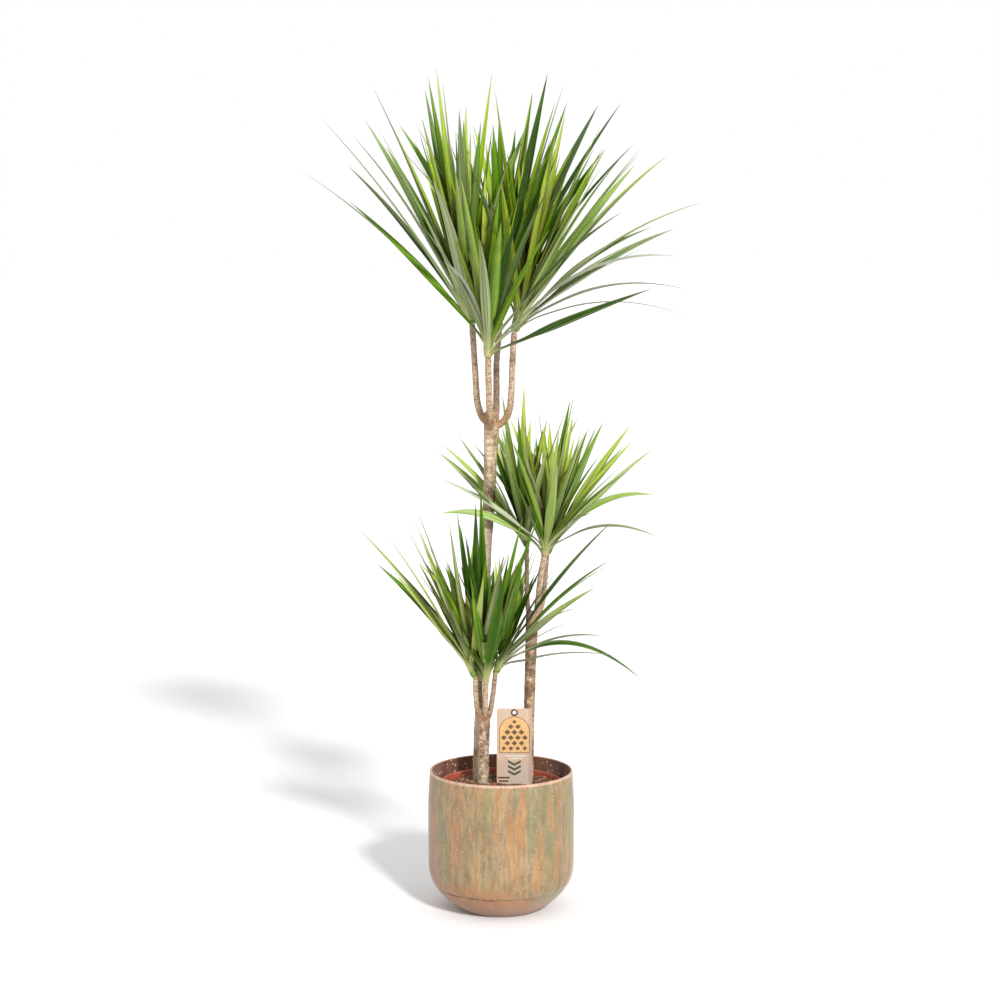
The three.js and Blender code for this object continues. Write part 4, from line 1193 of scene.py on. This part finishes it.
def label_outline():
    """Corners of the card's outline as (x, z), anticlockwise seen from -Y."""
    half, foot, corner = LABEL.width / 2, LABEL.point_width / 2, LABEL.corner
    bottom, top = LABEL.bottom, LABEL.top
    outline = [(-foot, bottom), (foot, bottom), (half, bottom + LABEL.point)]
    for centre, first in ((half - corner, 0), (corner - half, 90)):
        for turn in spaced(first, first + 90, 8):
            x, z, _ = around(corner, radians(turn))
            outline.append((centre + x, top - corner + z))
    outline.append((-half, bottom + LABEL.point))
    return outline


def flat_piece(name, shapes, depth, front, material, bevel=0.0):
    """Flat shapes, or a shape and its holes, of (x, z) corners around the label's middle, facing
    -Y at front."""
    curve = bpy.data.curves.new(name, "CURVE")
    curve.dimensions = "2D"
    curve.fill_mode = "BOTH"
    curve.extrude = depth / 2 * MM - bevel * MM
    curve.bevel_depth = bevel * MM
    curve.bevel_resolution = 2
    curve.offset = -bevel * MM
    for ring in shapes:
        spline = curve.splines.new("POLY")
        spline.points.add(len(ring) - 1)
        for point, (x, z) in zip(spline.points, ring):
            point.co = (x * MM, z * MM, 0, 1)
        spline.use_cyclic_u = True
    helper = placed(name, curve)
    bpy.context.view_layer.update()
    mesh = bpy.data.meshes.new_from_object(helper)
    bpy.data.objects.remove(helper)
    mesh.transform(Matrix.Translation(Vector((LABEL.x, LABEL.y + front + depth / 2, 0)) * MM)
                   @ Matrix.Rotation(pi / 2, 4, "X"))
    mesh.name = name
    mesh.materials.clear()
    mesh.materials.append(material)
    dressed(name, mesh, "label_card")


def arch(grow):
    """An arched panel's outline, grown outwards by so much."""
    half, foot, spring = 25 + grow, 272 - grow, 308
    top = [around(half, pi * k / 32) for k in range(33)]
    return [(-half, foot), (half, foot), *((x, spring + z) for x, z, _ in top)]


def bar(x, z, length, height):
    a, b = length / 2, height / 2
    return [(x - a, z - b), (x + a, z - b), (x + a, z + b), (x - a, z + b)]


def chevron(z, half=11, rise=6, thick=4.2):
    low = [(-half, z + rise), (0, z), (half, z + rise)]
    return low + [(x, height + thick) for x, height in reversed(low)]


def lozenges():
    """Rows of lozenges, the larger ones in the middle rows."""
    shapes = []
    for z, count, size in ((279, 4, 4), (288, 3, 4.8), (297.5, 4, 5), (307, 3, 5.2), (316.5, 2, 4.8),
                           (325, 1, 4)):
        for k in range(count):
            x = 12 * (k - (count - 1) / 2)
            shapes.append([(x - size, z), (x, z - size * 0.9), (x + size, z), (x, z + size * 0.9)])
    return shapes


def make_label(card, brass, inks):
    e = EYELET
    hole_height = LABEL.top - LABEL.hole_drop
    hole = [(x, hole_height - z) for x, z, _ in turned([(e.barrel + GAP, 0)], e.sides)]
    face = -LABEL.thickness / 2
    flat_piece("label_card_face", [label_outline(), hole], LABEL.thickness, face, card, 0.22)
    prints = [
        ("arch", "ochre", 1, [arch(0)]),
        ("border", "brown", 1, [arch(1.1), arch(0.1)[::-1]]),
        ("lozenges", "brown", 2, lozenges()),
        ("bars", "white", 1, [bar(2, 266, 36, 2), bar(2, 261.5, 24, 2)]),
        ("chevrons", "grey", 1, [chevron(z) for z in (248.5, 240, 231.5)]),
        ("foot", "brown", 1, [bar(-18, 228 - 6 * k, 20 - 4 * k, 3) for k in range(2)]),
    ]
    for name, ink, layer, shapes in prints:
        flat_piece(f"label_print_{name}", shapes, INK, face - layer * INK, inks[ink])

    half = LABEL.thickness / 2 + GAP
    outer = half + e.flange_thickness
    flange = [(e.barrel, half), (e.flange - 0.1, half), (e.flange, outer - 0.3),
              (e.flange - 0.5, outer), (e.inner + 0.25, outer), (e.inner, outer - 0.25)]
    profile = [(r, -z) for r, z in reversed(flange)] + flange
    points = [(x + LABEL.x, LABEL.y - z, y + hole_height)
              for x, y, z in turned(profile, e.sides)]
    piece("label_eyelet_ring", points, loop_faces(profile, e.sides), brass, "eyelet",
          "label_eyelet", 40)


# ---- Studio ----


def make_studio():
    scene = bpy.context.scene
    half, low = FLOOR.half_size, -FLOOR.below
    corners = [(-half, -half, low), (half, -half, low), (half, half, low), (-half, half, low)]
    mesh = new_mesh("studio_floor", corners, [(0, 1, 2, 3)])
    mesh.materials.append(floor_material())
    placed("studio_floor", mesh)

    world = bpy.data.worlds.new("studio")
    world.use_nodes = True
    sky = world.node_tree.nodes["Background"].inputs
    sky["Color"].default_value = (1, 1, 1, 1)
    sky["Strength"].default_value = 1.0
    scene.world = world
    scene.view_settings.view_transform = "Standard"

    key = bpy.data.lights.new("key", "SUN")
    key.energy = KEY.strength
    key.angle = radians(KEY.soft)
    placed("key", key).rotation_euler = KEY.towards.to_track_quat("-Z", "Y").to_euler()

    camera = bpy.data.cameras.new("camera")
    camera.sensor_width = CAMERA.sensor
    camera.lens = CAMERA.focal
    holder = placed("camera", camera)
    holder.location = CAMERA.place
    holder.rotation_euler = (radians(90 - CAMERA.down), 0, 0)
    scene.camera = holder


# ---- Making ----

for plant in PLANTS:
    for head, branch in zip(plant.heads, plant.branches):
        head.branch = branch
        head.base = Vector(branch[-1][:3])
        head.up = Vector(head.lean).normalized()

make_studio()
make_planter(patina_material(), copper_material())
make_nursery_pot(terracotta_material())
make_soil(soil_material(), crumb_material())
for plant in PLANTS:
    make_cane(plant, bark_material(*plant.bark), plant.bark[0])
SHEATH = sheath_material()
for plant in PLANTS:
    make_foliage(plant, leaf_material(*plant.leaf), SHEATH, plant.leaf[0])
cut_sheath(SHEATH, SHORT.leaf[0])
make_label(label_material(), brass_material(),
           {ink: print_material(f"print_{ink}", colour) for ink, colour in INKS.items()})
